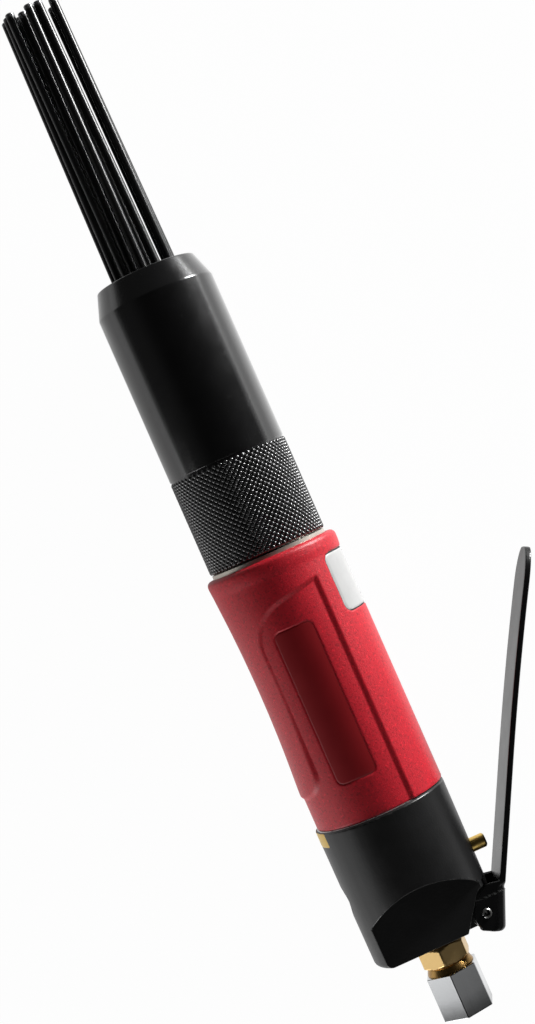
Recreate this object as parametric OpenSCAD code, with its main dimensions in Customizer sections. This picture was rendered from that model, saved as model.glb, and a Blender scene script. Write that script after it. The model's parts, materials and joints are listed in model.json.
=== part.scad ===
// Pneumatic needle scaler, millimetres.
// The tool is drawn standing on its air inlet and then laid down: its axis is +Y,
// the lever is on the +X side and the lever pin points along Z.

/* [Air inlet] */
// Hexagon of the steel inlet fitting, across flats
fitting_af = 17.46; // [16.5:0.01:20]
// Length of the steel fitting that shows
fitting_len = 16; // [14:0.1:22]
// Radius of the female air thread, at its pitch line
inlet_r = 6.25; // [5:0.05:6.6]
// Depth of the female air thread
inlet_depth = 11.5; // [8:0.1:12.5]
// Radius of the air way behind the thread
airway_r = 3.5; // [2.5:0.1:3.8]
// Radius of the fitting's male end
stub_r = 5; // [4.6:0.1:5.4]
// Length of the fitting's male end
stub_len = 10; // [6:0.1:12]
// Hexagon of the brass bush, across flats
bush_af = 16; // [15:0.1:19]
// Height of the brass hexagon
bush_hex_len = 7; // [5:0.1:10]
// Length of the brass neck behind the hexagon
bush_neck_len = 3.5; // [2:0.1:6]
// Radius of the brass neck
bush_neck_r = 6.6; // [6.2:0.1:7.4]
// Radius of the bush's thread in the housing
bush_thread_r = 7; // [6.2:0.1:7.6]
// Length of the bush's thread
bush_thread_len = 11; // [8:0.1:12]
// Thickness of the inlet strainer
screen_t = 1.5; // [1:0.1:2]
// Thickness of the inlet sealing washer
washer_t = 1; // [0.6:0.1:2]

/* [Rear housing] */
// Length of the housing
housing_len = 51; // [49:0.1:60]
// Wall of the housing at its front rim, round the barrel
housing_wall = 4.7; // [4:0.1:6]
// How much the housing narrows towards its rear end
housing_taper = 0.4; // [0:0.1:1]
// Rounding of the rear edge
rear_round = 2; // [1:0.1:3]
// Chamfer on the front rim
rim_chamfer = 0.9; // [0.4:0.1:1.4]
// Distance from the axis to each side flat
flat_half = 12.3; // [11.5:0.1:14]
// Height of the flats' arched top above the rear face
arch_rise = 23.5; // [20:0.1:26]
// Radius of the arched top
arch_r = 27; // [22:0.5:40]
// Depth of the valve chest bored into the front
chest_depth = 19.5; // [18:0.1:20]

/* [Lever] */
// Lever pin, inside the housing's side
pin_inset = 5; // [4.5:0.1:5.8]
// Lever pin, height above the rear face
pin_rise = 3.4; // [3:0.1:5]
// Radius of the lever pin
pin_r = 1.75; // [1.5:0.05:2.2]
// Bore radius of the hollow lever pin
pin_bore_r = 0.9; // [0.6:0.1:1.2]
// Angle between the released lever and the tool axis
lever_open = 27.7; // [26:0.1:30]
// Turn of the lever when it is squeezed
lever_squeeze = 19.5; // [16:0.1:19.5]
// Length of the lever from its pin
lever_len = 125; // [100:1:140]
// Width of the lever
lever_w = 19; // [18:0.1:19.4]
// Sheet thickness of the lever
lever_t = 2; // [1.6:0.1:2.2]
// Distance from the pin to the lever's inner face
lever_offset = 3.8; // [3.7:0.1:4.2]
// Length of the straight part of the lever
lever_straight = 50; // [30:1:70]
// Extra outward turn at the lever's tip
lever_flare = 3.3; // [0:0.1:5]
// Corner radius of the lever's tip
tip_r = 6; // [3:0.5:8]
// Outer radius of the folded edges at the ears
bend_r = 2.6; // [2.3:0.1:3]
// Radius of the ears round the pin
ear_r = 6.4; // [5:0.1:6.6]
// Length of the ears along the lever
ear_len = 11.1; // [10:0.1:12]
// Start of the flat strip, where the folded edges end
strip_start = 8.6; // [7:0.1:10]

/* [Throttle] */
// Throttle stem, height above the rear face
stem_rise = 24.5; // [24:0.1:26]
// Radius of the throttle stem
stem_r = 2.5; // [2:0.1:2.6]
// Length of the stem that shows beside the housing
stem_show = 5.4; // [4.2:0.1:5.7]
// Travel of the stem
stem_travel = 4.2; // [3:0.1:4.2]
// Radius of the cross bore
cross_r = 4.5; // [4.3:0.1:4.7]
// Radius of the plug's thread
plug_r = 5; // [4.9:0.1:5.2]
// Length of the plug
plug_len = 8.2; // [7:0.1:9]
// Depth of the plug below the housing's surface
plug_sunk = 1.2; // [0.6:0.1:2]
// Valve seat, distance from the axis
seat_x = 6; // [5:0.1:7]
// Length of the throttle bush
throttle_bush_len = 9; // [8:0.1:10]
// Thickness of the rubber seals on the throttle
throttle_seal_t = 1; // [0.8:0.1:1.4]
// Wire radius of the throttle spring
throttle_wire_r = 0.4; // [0.3:0.05:0.5]
// Turns of the throttle spring
throttle_turns = 8; // [6:1:10]

/* [Valve chest] */
// Thickness of the chest gasket
gasket_t = 0.5; // [0.3:0.1:1]
// Thickness of the rear valve seat
seat_rear_t = 4.5; // [4:0.1:5]
// Thickness of the front valve seat
seat_front_t = 4.5; // [3:0.1:5]
// Thickness of the valve disc
disc_t = 1.6; // [1.2:0.1:2]
// Travel of the valve disc
disc_travel = 0.8; // [0.5:0.1:1.2]
// Radius of the locating dowel
dowel_r = 1.5; // [1:0.1:1.8]

/* [Barrel] */
// Outer radius of the barrel
barrel_r = 19; // [18.6:0.1:19.2]
// Wall of the barrel round the piston bore
barrel_wall = 7; // [6.6:0.1:8]
// Length of the piston
piston_len = 42; // [36:0.5:46]
// Length of the barrel's thread in the nozzle
nozzle_thread_len = 16.4; // [16:0.1:20]
// Exhaust port radius
port_r = 2.5; // [1.5:0.1:3]
// Exhaust ports, ahead of the piston at rest
port_ahead = 17; // [14:0.1:20]

/* [Grip] */
// Length of the grip sleeve
grip_len = 92.8; // [85:0.1:110]
// Wall of the grip at its raised pads
grip_wall = 4.7; // [4.4:0.1:5.4]
// Depth of the recessed panels
panel_depth = 1.1; // [0.6:0.1:1.4]
// Panel edge on the back pad's side, from the axis
panel_back = 15.4; // [13:0.1:16]
// Panel edge on the lever side, from the axis
panel_front = 11.7; // [10:0.1:13]
// Panel's top corner on the lever side, below the grip's top
panel_top_front = 12.3; // [8:0.1:14]
// Panel's top corner on the back side, below the grip's top
panel_top_back = 14.8; // [14:0.1:26]
// Rounding of the panel's top corner on the back side
panel_top_round = 15; // [8:0.5:18]
// Rounding of the back pad's lower end
panel_round = 8; // [4:0.5:10]
// Back pad's lower end, above the housing's rim
pad_end = 12.3; // [9:0.1:20]
// Depth of the grip's waist, on the back side
waist_depth = 1.5; // [0.7:0.1:1.9]
// Length of the waist
waist_len = 80; // [60:1:84]
// Width of the sunk badge field
badge_w = 14.5; // [10:0.1:16]
// Length of the sunk badge field
badge_len = 56.3; // [40:0.1:60]
// Badge field's top, below the grip's top
badge_top = 24.1; // [22:0.1:28]
// Badge field's middle, towards the back pad
badge_back = 2.4; // [0:0.05:3]
// Depth of the badge and label fields
field_depth = 0.4; // [0.2:0.05:0.6]
// Half width of the label field on the lever side
label_half = 17.2; // [10:0.1:18]
// Length of the label field
label_len = 21.7; // [15:0.1:26]
// Label field's top, below the grip's top
label_top = 6.3; // [5:0.1:10]
// Height of the bright ring that shows above the grip
ring_show = 1.3; // [0.8:0.1:2]
// Depth of the ring's seat in the grip
ring_seat = 1.5; // [1:0.1:2.5]

/* [Anvil] */
// Radius of the anvil's shank
shank_r = 7; // [6:0.1:8]
// Length of shank left in the piston bore at full travel
shank_left = 2.8; // [1:0.1:6]
// Length of the anvil bush
anvil_bush_len = 18; // [14:0.1:20]
// Wall of the barrel's front thread round the anvil bush
thread_wall = 3.8; // [3:0.1:4.8]
// Thickness of the rubber bumper
bumper_t = 3; // [2:0.1:4]
// Distance from the bumper to the barrel's front end
bumper_sunk = 9; // [8:0.1:10]
// Clearance round the anvil's collar
collar_gap = 1.2; // [1.1:0.1:3]
// Radius of the anvil's face
face_r = 15.5; // [14.5:0.1:16.5]
// Thickness of the anvil's face
face_t = 5.7; // [4:0.1:8]
// Forward travel of the anvil and needles
anvil_travel = 6; // [3:0.1:6]

/* [Nozzle] */
// Length of the nozzle
nozzle_len = 104.3; // [95:0.1:120]
// Outer radius of the nozzle
nozzle_r = 21.15; // [20.8:0.05:22]
// Bore radius of the nozzle
nozzle_bore_r = 17.5; // [17:0.1:18]
// Step from the nozzle's bore to its thread
thread_step = 1.3; // [1:0.1:1.5]
// Length of the knurled band
knurl_len = 34; // [30:0.1:38]
// Depth to which the knurled band is turned down
knurl_depth = 0.25; // [0.1:0.05:0.4]
// Length of the nose chamfer
nose_len = 8.9; // [6:0.1:10]
// Radius of the nose's front face
nose_r = 18; // [16:0.1:19]
// Radius of the mouth
mouth_r = 13.5; // [13:0.1:15]
// Length of the mouth
mouth_len = 10; // [8:0.1:14]

/* [Needles] */
// Length of a needle
needle_len = 180; // [150:1:200]
// Radius of a needle
needle_r = 1.6; // [1.2:0.05:1.7]
// Radius of a needle's head
head_r = 2.5; // [2.2:0.05:2.7]
// Height of a needle's head
head_t = 2.5; // [2:0.1:3.5]
// Radius of the outer ring of needles at their heads
outer_ring_r = 11.25; // [11:0.05:11.8]
// Radius of the inner ring of needles at their heads
inner_ring_r = 5.6; // [5.5:0.05:5.8]
// Needles in the outer ring
outer_count = 12; // [10:1:12]
// Needles in the inner ring
inner_count = 6; // [5:1:6]
// Ratio of a needle ring's radius at the tips to that at the heads
tip_ratio = 0.8; // [0.75:0.01:1]
// Thickness of the needle holder
holder_t = 8; // [6:0.1:10]
// Wire radius of the needle spring
spring_wire_r = 1.1; // [0.8:0.05:1.2]
// Turns of the needle spring
spring_turns = 10; // [7:1:13]

/* [Fits] */
// Radial clearance of pieces that stay put
fit = 0.05; // [0.03:0.01:0.08]
// Radial clearance of pieces that slide or turn
slide = 0.05; // [0.03:0.01:0.08]
// Gap between a moving piece and its stop
seat_gap = 0.2; // [0.1:0.05:0.3]

/* [Hidden] */
$fn = 96;
EPS = 1;
FAR = 200;

// Radii that follow the barrel
bore_r = barrel_r - barrel_wall;
disc_r = bore_r;
rim_r = barrel_r + housing_wall;
rear_r = rim_r - housing_taper;
pin_x = rear_r - pin_inset;
stem_reach = rear_r + stem_show;
pad_r = barrel_r + grip_wall;
waist_r = pad_r - waist_depth;

// Radii that follow the nozzle
front_thread_r = nozzle_bore_r + thread_step;
anvil_bush_r = front_thread_r - thread_wall;
collar_r = anvil_bush_r - collar_gap;

// Stations along the axis, from the inlet's mouth
z_hex = fitting_len + bush_neck_len;
z_rear = z_hex + bush_hex_len;
z_rim = z_rear + housing_len;
z_pin = z_rear + pin_rise;
z_stem = z_rear + stem_rise;
z_bush_end = z_rear + bush_thread_len;
z_inlet_floor = z_bush_end + washer_t;
z_chest = z_rim - chest_depth;
z_seat_rear = z_chest + gasket_t;
z_seat_front = z_seat_rear + seat_rear_t;
z_barrel = z_seat_front + seat_front_t;
z_grip_top = z_rim + grip_len;
z_nozzle = z_grip_top + ring_show;
z_barrel_end = z_nozzle + nozzle_thread_len;
z_bumper = z_barrel_end - bumper_sunk - bumper_t;
z_anvil_bush = z_bumper - anvil_bush_len;
z_anvil = z_anvil_bush - shank_left - anvil_travel;
z_collar = z_bumper + bumper_t + seat_gap;
z_face = z_barrel_end + 3 * seat_gap;
z_needle = z_face + face_t + seat_gap;
z_holder = z_needle + head_t + seat_gap / 2;
z_spring = z_holder + holder_t;
z_nose = z_nozzle + nozzle_len;
z_shoulder = z_nose - mouth_len;
z_piston = z_barrel + 3 * seat_gap;
piston_stroke = z_anvil - seat_gap - piston_len - z_piston;

// Throttle stations along X
guide_x = seat_x + throttle_bush_len;
plug_face_x = -(rear_r - plug_sunk);
plug_inner_x = plug_face_x + plug_len;
cross_floor_x = plug_inner_x + throttle_seal_t;
stem_head_t = 1.8;
seal_x = seat_x - seat_gap / 2 - throttle_seal_t;
head_x = seal_x - stem_head_t;
spring_pocket = 2.5;
spigot_x = plug_inner_x - spring_pocket + stem_travel + seat_gap;
stem_head_r = cross_r - 0.7;
chamber_r = cross_r - 1.2;
chamber_len = 5.5;
chest_way_x = seat_x + chamber_len / 2;
chest_way_r = 2.3;
passage_r = 4;

// Lever details, in the lever's own frame: Z runs along it and X out of its face
lug_half = lever_w / 2 - lever_t - seat_gap;
lug_r = lever_offset - 0.3;
ear_out = 0.4;
ear_step = [4.3, -0.7];
ear_edge = [[lever_offset, ear_len], [-0.9, ear_len - 1.5], [-3, ear_len - 4.9]];
slot_out = lever_w / 2 + ear_out + 0.3;
flare_r = (lever_len - lever_straight) / (max(lever_flare, 0.1) * PI / 180);

// Ring seals round the barrel
ring_groove = 1.5;
ring_r = 0.7;

// Valve chest details
disc_chamber = disc_t + disc_travel + seat_gap;
dowel_ring_r = (barrel_r + bore_r) / 2;
dowel_turn = 135;
front_way_turn = -135;

// Every needle's ring radius and turn about the axis
needle_sites = concat(
    [[0, 0]],
    [for (i = [0:inner_count - 1]) [inner_ring_r, 360 / inner_count * (i + 0.9)]],
    [for (i = [0:outer_count - 1]) [outer_ring_r, 360 / outer_count * i - 90]]);
// Turn and spread of a needle's tip; a few tips have strayed from their rings
function needle_stray(i) =
    i == 6 ? [-2, 0.79] : i == 8 ? [-7.5, 1] : i == 9 ? [0, 1.12] :
    i == 12 ? [7.3, 1] : i == 17 ? [-2.6, 1] : i == 18 ? [-12.2, 1.14] : [0, 1];
function needle_name(i) = str("needle_", i < 9 ? "0" : "", i + 1);

BLACK = "#1b1b1d";
STEEL = "#a9abb0";
BRASS = "#c8963e";
RED = "#b01c2c";
RUBBER = "#2b2b2b";

// Points of an arc in the plane
function arc(centre, r, from, to, steps = 8) =
    [for (i = [0:steps]) let (a = from + (to - from) * i / steps)
        centre + r * [cos(a), sin(a)]];

// A point of the lever's frame, [out, along], placed in the tool's X and Z
function lever_point(p, angle) =
    [pin_x + p[0] * cos(angle) + p[1] * sin(angle),
     z_pin - p[0] * sin(angle) + p[1] * cos(angle)];

// A point moved away from the lever pin by a clearance
function swell(p, gap) = p * (1 + gap / norm(p));

// Lays the standing tool down along +Y
module tool() rotate([-90, 0, 0]) children();

// A tube along the axis
module ring(outer, inner, from, to) {
    translate([0, 0, from])
    difference() {
        cylinder(r = outer, h = to - from);
        translate([0, 0, -EPS]) cylinder(r = inner, h = to - from + 2 * EPS);
    }
}

// A plain round bar along the axis
module bar(r, from, to) translate([0, 0, from]) cylinder(r = r, h = to - from);

// A round bar along X, through the throttle stem's line
module cross_bar(r, from, to) {
    translate([from, 0, z_stem]) rotate([0, 90, 0]) cylinder(r = r, h = to - from);
}

// A flat outline in X and Z, given thickness along Y
module slab_y(w) rotate([90, 0, 0]) linear_extrude(w, center = true) children();

// A flat outline in Y and Z, given thickness along X
module slab_x(from, to) translate([from, 0, 0]) rotate([90, 0, 90]) linear_extrude(to - from) children();

// A hexagon along the axis, chamfered round its ends
module hex_bar(af, from, to, chamfer) {
    corner = af / sqrt(3);
    intersection() {
        translate([0, 0, from]) cylinder(r = corner, h = to - from, $fn = 6);
        rotate_extrude()
            polygon([[0, from], [af / 2, from], [corner, from + chamfer],
                     [corner, to - chamfer], [af / 2, to], [0, to]]);
    }
}

// A rectangle with round corners, centred
module round_rect(w, h, r) {
    square([w - 2 * r, h], center = true);
    square([w, h - 2 * r], center = true);
    for (sx = [-1, 1], sy = [-1, 1])
        translate([sx * (w / 2 - r), sy * (h / 2 - r)]) circle(r = r);
}

// One ring of points round a coil's wire at the turn a
function coil_ring(r, wire_r, pitch, a, sides) =
    let (rise = atan(pitch / (2 * PI * r)))
    [for (k = [0:sides - 1])
        let (b = 360 * k / sides, out = r + wire_r * cos(b), up = wire_r * sin(b))
        [out * cos(a) + up * sin(rise) * sin(a),
         out * sin(a) - up * sin(rise) * cos(a),
         pitch * a / 360 + up * cos(rise)]];

// Least space between one turn's wire and the next, measured on the coil's own centres
function coil_gap(r, wire_r, pitch, steps) =
    let (first = [r, 0, 0])
    min([for (i = [-2:2]) let (a = 360 * (1 + i / steps))
        norm([r * cos(a), r * sin(a), pitch * a / 360] - first)]) - 2 * wire_r;

// A compression spring of a given length, standing on the plane z = 0
module coil(r, wire_r, length, turns, steps = 12, sides = 6) {
    pitch = (length - 2 * wire_r) / turns;
    count = turns * steps;
    points = [for (i = [0:count]) each coil_ring(r, wire_r, pitch, 360 * i / steps, sides)];
    last = count * sides;
    walls = [for (i = [0:count - 1], k = [0:sides - 1])
        let (a = i * sides + k, b = i * sides + (k + 1) % sides)
        each [[a, a + sides, b], [b, a + sides, b + sides]]];
    caps = [for (k = [1:sides - 2]) each [[0, k, k + 1], [last, last + k + 1, last + k]]];
    translate([0, 0, wire_r]) polyhedron(points, concat(walls, caps));
}

// Air inlet

module inlet_fitting() color(STEEL) tool() difference() {
    union() {
        rotate([0, 0, 30]) hex_bar(fitting_af, 0, fitting_len - 0.8, 0.3);
        bar(fitting_af / 2 - 0.4, fitting_len - 2, fitting_len);
        bar(stub_r, fitting_len - EPS, fitting_len + stub_len);
    }
    bar(inlet_r, -EPS, inlet_depth);
    translate([0, 0, inlet_depth - 0.01])
        cylinder(r1 = inlet_r, r2 = airway_r, h = inlet_r - airway_r);
    bar(airway_r, inlet_depth, fitting_len + stub_len + EPS);
}

module inlet_bush() color(BRASS) tool() difference() {
    union() {
        bar(bush_neck_r, fitting_len, z_hex + EPS);
        rotate([0, 0, 18]) hex_bar(bush_af, z_hex, z_rear, 1);
        bar(bush_thread_r - fit, z_rear - EPS, z_bush_end);
    }
    bar(stub_r + fit, fitting_len - EPS, fitting_len + stub_len + seat_gap);
    bar(airway_r, fitting_len, z_bush_end + EPS);
    bar(stub_r, z_bush_end - screen_t - seat_gap, z_bush_end + EPS);
}

module inlet_screen() color(STEEL) tool() difference() {
    bar(stub_r - fit, z_bush_end - screen_t - seat_gap, z_bush_end - seat_gap);
    for (i = [-2:2], j = [-2:2])
        if (norm([i, j]) < 2.5)
            translate([i * stub_r / 3, j * stub_r / 3, 0])
                bar(stub_r / 10, z_bush_end - 2 * screen_t, z_bush_end + EPS);
}

module inlet_washer() color(RUBBER) tool()
    ring(bush_thread_r - fit, airway_r + EPS, z_bush_end, z_inlet_floor);

// Rear housing

module side_flats() {
    top = z_rear + arch_rise;
    for (side = [-1, 1])
        translate([0, side * (flat_half + FAR / 4), 0])
            slab_y(FAR / 2)
                intersection() {
                    translate([-FAR / 2, z_rear - FAR]) square([FAR, arch_rise + FAR]);
                    union() {
                        translate([0, top - arch_r]) circle(r = arch_r);
                        translate([-FAR / 2, z_rear - FAR]) square([FAR, FAR + arch_rise - arch_r
                            + sqrt(arch_r * arch_r - pow(rear_r, 2) + pow(flat_half, 2))]);
                    }
                }
}

// What the lever's plate passes through as it turns
module lever_relief() {
    for (angle = [lever_open, lever_open - lever_squeeze])
        translate([pin_x, 0, z_pin])
            rotate([0, angle, 0])
                translate([lug_r, -FAR / 2, -FAR / 2]) cube(FAR);
}

// Room for the two ears, open towards the rear and the lever side
module lever_pocket() {
    squeezed = lever_open - lever_squeeze;
    room = [for (p = ear_edge) lever_point(swell(p, 0.6), squeezed)];
    side = lever_point(swell([-ear_r * 0.85, ear_r * 0.53], 0.6), squeezed);
    top = z_pin + ear_len + 1.2;
    for (s = [-1, 1]) {
        translate([0, s * (lug_half + slot_out) / 2, 0])
            slab_y(slot_out - lug_half) {
                translate([pin_x, z_pin]) circle(r = ear_r + 0.6);
                polygon([side, room[2], room[1], [room[0][0], top], [FAR, top], [FAR, z_rear - FAR],
                         [pin_x, z_rear - FAR], [pin_x, z_pin]]);
            }
        translate([0, s * (lug_half + FAR / 4), 0])
            slab_y(FAR / 2)
                polygon([[pin_x - 9.3, z_rear - EPS], [pin_x - 0.7, z_pin + 8],
                         [pin_x + 1, z_pin + 9.2], [FAR, z_pin + 9.2], [FAR, z_rear - EPS]]);
    }
}

module throttle_bores() {
    cross_bar(plug_r, -FAR, cross_floor_x);
    cross_bar(cross_r, cross_floor_x - EPS, guide_x);
    cross_bar(stem_r + slide, guide_x - EPS, FAR);
    bar(passage_r, z_inlet_floor - EPS, z_stem);
    translate([chest_way_x, 0, 0]) bar(chest_way_r, z_stem, z_chest + EPS);
}

module rear_housing() color(BLACK) tool() difference() {
    rotate_extrude()
        polygon(concat([[0, z_rear]],
            arc([rear_r - rear_round, z_rear + rear_round], rear_round, -90, 0),
            [[rim_r, z_rim - rim_chamfer], [rim_r - rim_chamfer, z_rim], [0, z_rim]]));
    side_flats();
    lever_relief();
    lever_pocket();
    translate([pin_x, 0, z_pin]) rotate([90, 0, 0]) cylinder(r = pin_r + fit, h = FAR, center = true);
    bar(bush_thread_r, z_rear - EPS, z_inlet_floor);
    throttle_bores();
    bar(barrel_r + fit, z_chest, z_rim + EPS);
}

// Lever

module lever_strip() {
    inner = [for (i = [0:10]) let (a = lever_flare * i / 10)
        [lever_offset + flare_r * (1 - cos(a)), lever_straight + flare_r * sin(a)]];
    outer = [for (i = [10:-1:0]) let (a = lever_flare * i / 10, r = flare_r - lever_t)
        [lever_offset + flare_r - r * cos(a), lever_straight + r * sin(a)]];
    intersection() {
        slab_y(lever_w)
            polygon(concat([[lever_offset, strip_start]], inner, outer,
                [[lever_offset + lever_t, strip_start]]));
        slab_x(-FAR / 4, FAR / 4)
            translate([0, (lever_len - FAR / 2) / 2])
                round_rect(lever_w, lever_len + FAR / 2, tip_r);
    }
}

// Folded sheet section with its two ears
module lever_fold() {
    half = lever_w / 2;
    back = lever_offset + lever_t;
    translate([0, 0, -2 * ear_r])
    linear_extrude(2 * ear_r + ear_len)
    difference() {
        union() {
            translate([-2 * ear_r, -half]) square([2 * ear_r + back - bend_r, lever_w]);
            translate([-2 * ear_r, bend_r - half]) square([2 * ear_r + back, 2 * (half - bend_r)]);
            for (s = [-1, 1])
                translate([back - bend_r, s * (half - bend_r)]) circle(r = bend_r);
        }
        translate([-FAR, lever_t - half]) square([FAR + lever_offset, lever_w - 2 * lever_t]);
    }
}

module lever_ears() {
    back = lever_offset + lever_t;
    heel = 0.2 - ear_r;
    intersection() {
        lever_fold();
        slab_y(2 * lever_w) {
            circle(r = ear_r);
            polygon([[back + EPS, heel], [back + EPS, ear_len + EPS], [lever_offset, ear_len + EPS],
                     ear_edge[0], ear_edge[1], ear_edge[2], ear_r * [-0.85, 0.53], [0, 0], [0, heel]]);
        }
    }
    for (s = [-1, 1])
        translate([0, s * lever_w / 2, 0])
            slab_y(2 * ear_out) {
                intersection() {
                    circle(r = ear_r);
                    translate([-FAR, -FAR / 2]) square([FAR + back - bend_r / 3, FAR]);
                }
                polygon([[back - bend_r, heel], [back - bend_r, strip_start - EPS], [ear_step[1], ear_step[0]],
                         [0, 0], [0, heel]]);
            }
}

module lever() color(BLACK) tool()
    translate([pin_x, 0, z_pin]) rotate([0, lever_open, 0])
    difference() {
        union() {
            lever_strip();
            lever_ears();
        }
        rotate([90, 0, 0]) cylinder(r = pin_r + slide, h = FAR, center = true);
    }

module lever_pin() color(STEEL) tool()
    translate([pin_x, 0, z_pin]) rotate([90, 0, 0])
    difference() {
        cylinder(r = pin_r, h = lever_w + 2 * ear_out, center = true);
        cylinder(r = pin_bore_r, h = FAR, center = true);
    }

// Throttle

module throttle_stem() color(BRASS) tool() {
    tip = 0.6;
    neck_x = seal_x + throttle_seal_t + 0.5;
    cross_bar(stem_head_r, head_x, seal_x);
    cross_bar(stem_r - 0.7, spigot_x, neck_x + EPS);
    cross_bar(stem_r, neck_x, stem_reach - tip);
    translate([stem_reach - tip, 0, z_stem]) rotate([0, 90, 0])
        cylinder(r1 = stem_r, r2 = stem_r - tip, h = tip);
}

module throttle_seal() color(RUBBER) tool() difference() {
    cross_bar(stem_head_r, seal_x, seal_x + throttle_seal_t);
    cross_bar(stem_r - 0.7 + fit, seal_x - EPS, seat_x + EPS);
}

module throttle_bush() color(BRASS) tool() difference() {
    cross_bar(cross_r - fit, seat_x, guide_x);
    cross_bar(chamber_r, seat_x - EPS, seat_x + chamber_len);
    cross_bar(stem_r + slide, seat_x, guide_x + EPS);
    cross_bar(cross_r - 1, guide_x - throttle_seal_t - 0.8, guide_x + EPS);
    translate([chest_way_x, 0, 0]) bar(chest_way_r, z_stem, z_stem + FAR);
}

module stem_seal() color(RUBBER) tool() difference() {
    cross_bar(cross_r - 1 - fit, guide_x - throttle_seal_t - 0.8, guide_x);
    cross_bar(stem_r + slide, 0, FAR);
}

throttle_coil_r = cross_r - 0.6 - throttle_wire_r;
throttle_coil_len = head_x - plug_inner_x + spring_pocket - seat_gap;
module throttle_spring() color(STEEL) tool()
    translate([plug_inner_x - spring_pocket + seat_gap / 2, 0, z_stem]) rotate([0, 90, 0])
        coil(throttle_coil_r, throttle_wire_r, throttle_coil_len, throttle_turns);

module throttle_plug() color(BLACK) tool() difference() {
    cross_bar(plug_r - fit, plug_face_x, plug_inner_x);
    cross_bar(cross_r - 0.4, plug_inner_x - spring_pocket, plug_inner_x + EPS);
    translate([plug_face_x - EPS, 0, z_stem]) rotate([0, 90, 0])
        cylinder(r = plug_r * 0.6, h = plug_len / 2 + EPS, $fn = 6);
}

module plug_seal() color(RUBBER) tool() difference() {
    cross_bar(plug_r - fit, plug_inner_x, cross_floor_x);
    cross_bar(cross_r - 0.2, plug_inner_x - EPS, cross_floor_x + EPS);
}

// Valve chest

module chest_way(from, to) translate([chest_way_x, 0, 0]) bar(chest_way_r, from, to);
module front_way(from, to) rotate([0, 0, front_way_turn]) translate([dowel_ring_r, 0, 0]) bar(dowel_r, from, to);

module dowel_hole() {
    rotate([0, 0, dowel_turn]) translate([dowel_ring_r, 0, 0])
        bar(dowel_r + fit, z_seat_front - seat_rear_t / 2, z_barrel + seat_front_t);
}

module chest_gasket() color(RUBBER) tool() difference() {
    bar(barrel_r, z_chest, z_seat_rear);
    chest_way(z_chest - EPS, z_seat_rear + EPS);
}

module valve_seat_rear() color(STEEL) tool() difference() {
    bar(barrel_r, z_seat_rear, z_seat_front);
    bar(disc_r + 0.4, z_seat_front - disc_chamber, z_seat_front + EPS);
    chest_way(z_seat_rear - EPS, z_seat_front + EPS);
    dowel_hole();
}

module valve_disc() color(STEEL) tool()
    bar(disc_r, z_seat_front - disc_chamber + seat_gap / 2, z_seat_front - disc_chamber + seat_gap / 2 + disc_t);

module valve_seat_front() color(STEEL) tool() difference() {
    bar(barrel_r, z_seat_front, z_barrel);
    bar(passage_r, z_seat_front - EPS, z_barrel + EPS);
    front_way(z_seat_front - EPS, z_barrel + EPS);
    dowel_hole();
}

module valve_dowel() color(STEEL) tool() rotate([0, 0, dowel_turn]) translate([dowel_ring_r, 0, 0])
    bar(dowel_r, z_seat_front - seat_rear_t / 2, z_barrel + seat_front_t);

// Barrel

ring_width = 2 * ring_r + 0.4;
z_barrel_seal = z_barrel + 3;
z_nozzle_seal = z_nozzle + 3;
module seal_groove(r, at) ring(r + EPS, r - ring_groove, at, at + ring_width);
module seal_ring(at, bore)
    translate([0, 0, at + ring_width / 2])
        rotate_extrude() translate([bore - ring_r - 0.03, 0]) circle(r = ring_r, $fn = 32);

z_port = z_piston + piston_len + port_ahead;
module barrel() color(STEEL) tool() difference() {
    rotate_extrude()
        polygon([[0, z_barrel], [barrel_r, z_barrel], [barrel_r, z_nozzle],
                 [front_thread_r, z_nozzle], [front_thread_r, z_barrel_end], [0, z_barrel_end]]);
    bar(bore_r, z_barrel - EPS, z_barrel_end);
    bar(anvil_bush_r, z_anvil_bush, z_barrel_end + EPS);
    seal_groove(barrel_r, z_barrel_seal);
    seal_groove(front_thread_r, z_nozzle_seal);
    dowel_hole();
    front_way(z_barrel - EPS, z_anvil_bush - 4);
    for (turn = [0:90:270])
        rotate([0, 0, turn]) {
            translate([0, 0, z_port]) rotate([0, 90, 0]) cylinder(r = port_r, h = FAR);
            translate([barrel_r - 1, -port_r, z_port - 2 * port_r])
                cube([FAR, 2 * port_r, z_grip_top - ring_seat - 1 - z_port + 2 * port_r]);
        }
}

module barrel_seal() color(RUBBER) tool() seal_ring(z_barrel_seal, barrel_r + fit);
module nozzle_seal() color(RUBBER) tool() seal_ring(z_nozzle_seal, front_thread_r + fit);

module piston() color(STEEL) tool() {
    r = bore_r - slide;
    rotate_extrude()
        polygon([[0, z_piston], [r - 1, z_piston], [r, z_piston + 1],
                 [r, z_piston + 8], [r - 0.6, z_piston + 8.6], [r - 0.6, z_piston + 10], [r, z_piston + 10.6],
                 [r, z_piston + piston_len - 3], [r - 3, z_piston + piston_len], [0, z_piston + piston_len]]);
}

// Grip

// Outline of one recessed panel, seen from the side
module panel_outline() {
    right_top = [panel_front, z_grip_top - panel_top_front];
    back_top = [panel_top_round - panel_back, z_grip_top - panel_top_back - panel_top_round];
    back_end = [-panel_back - panel_round, z_rim + pad_end + panel_round];
    polygon(concat(
        [[panel_front, z_rim - EPS], right_top],
        arc(back_top, panel_top_round, 100, 180, 12),
        arc(back_end, panel_round, 0, -90),
        [[-FAR, z_rim + pad_end], [-FAR, z_rim - EPS]]));
}

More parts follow.
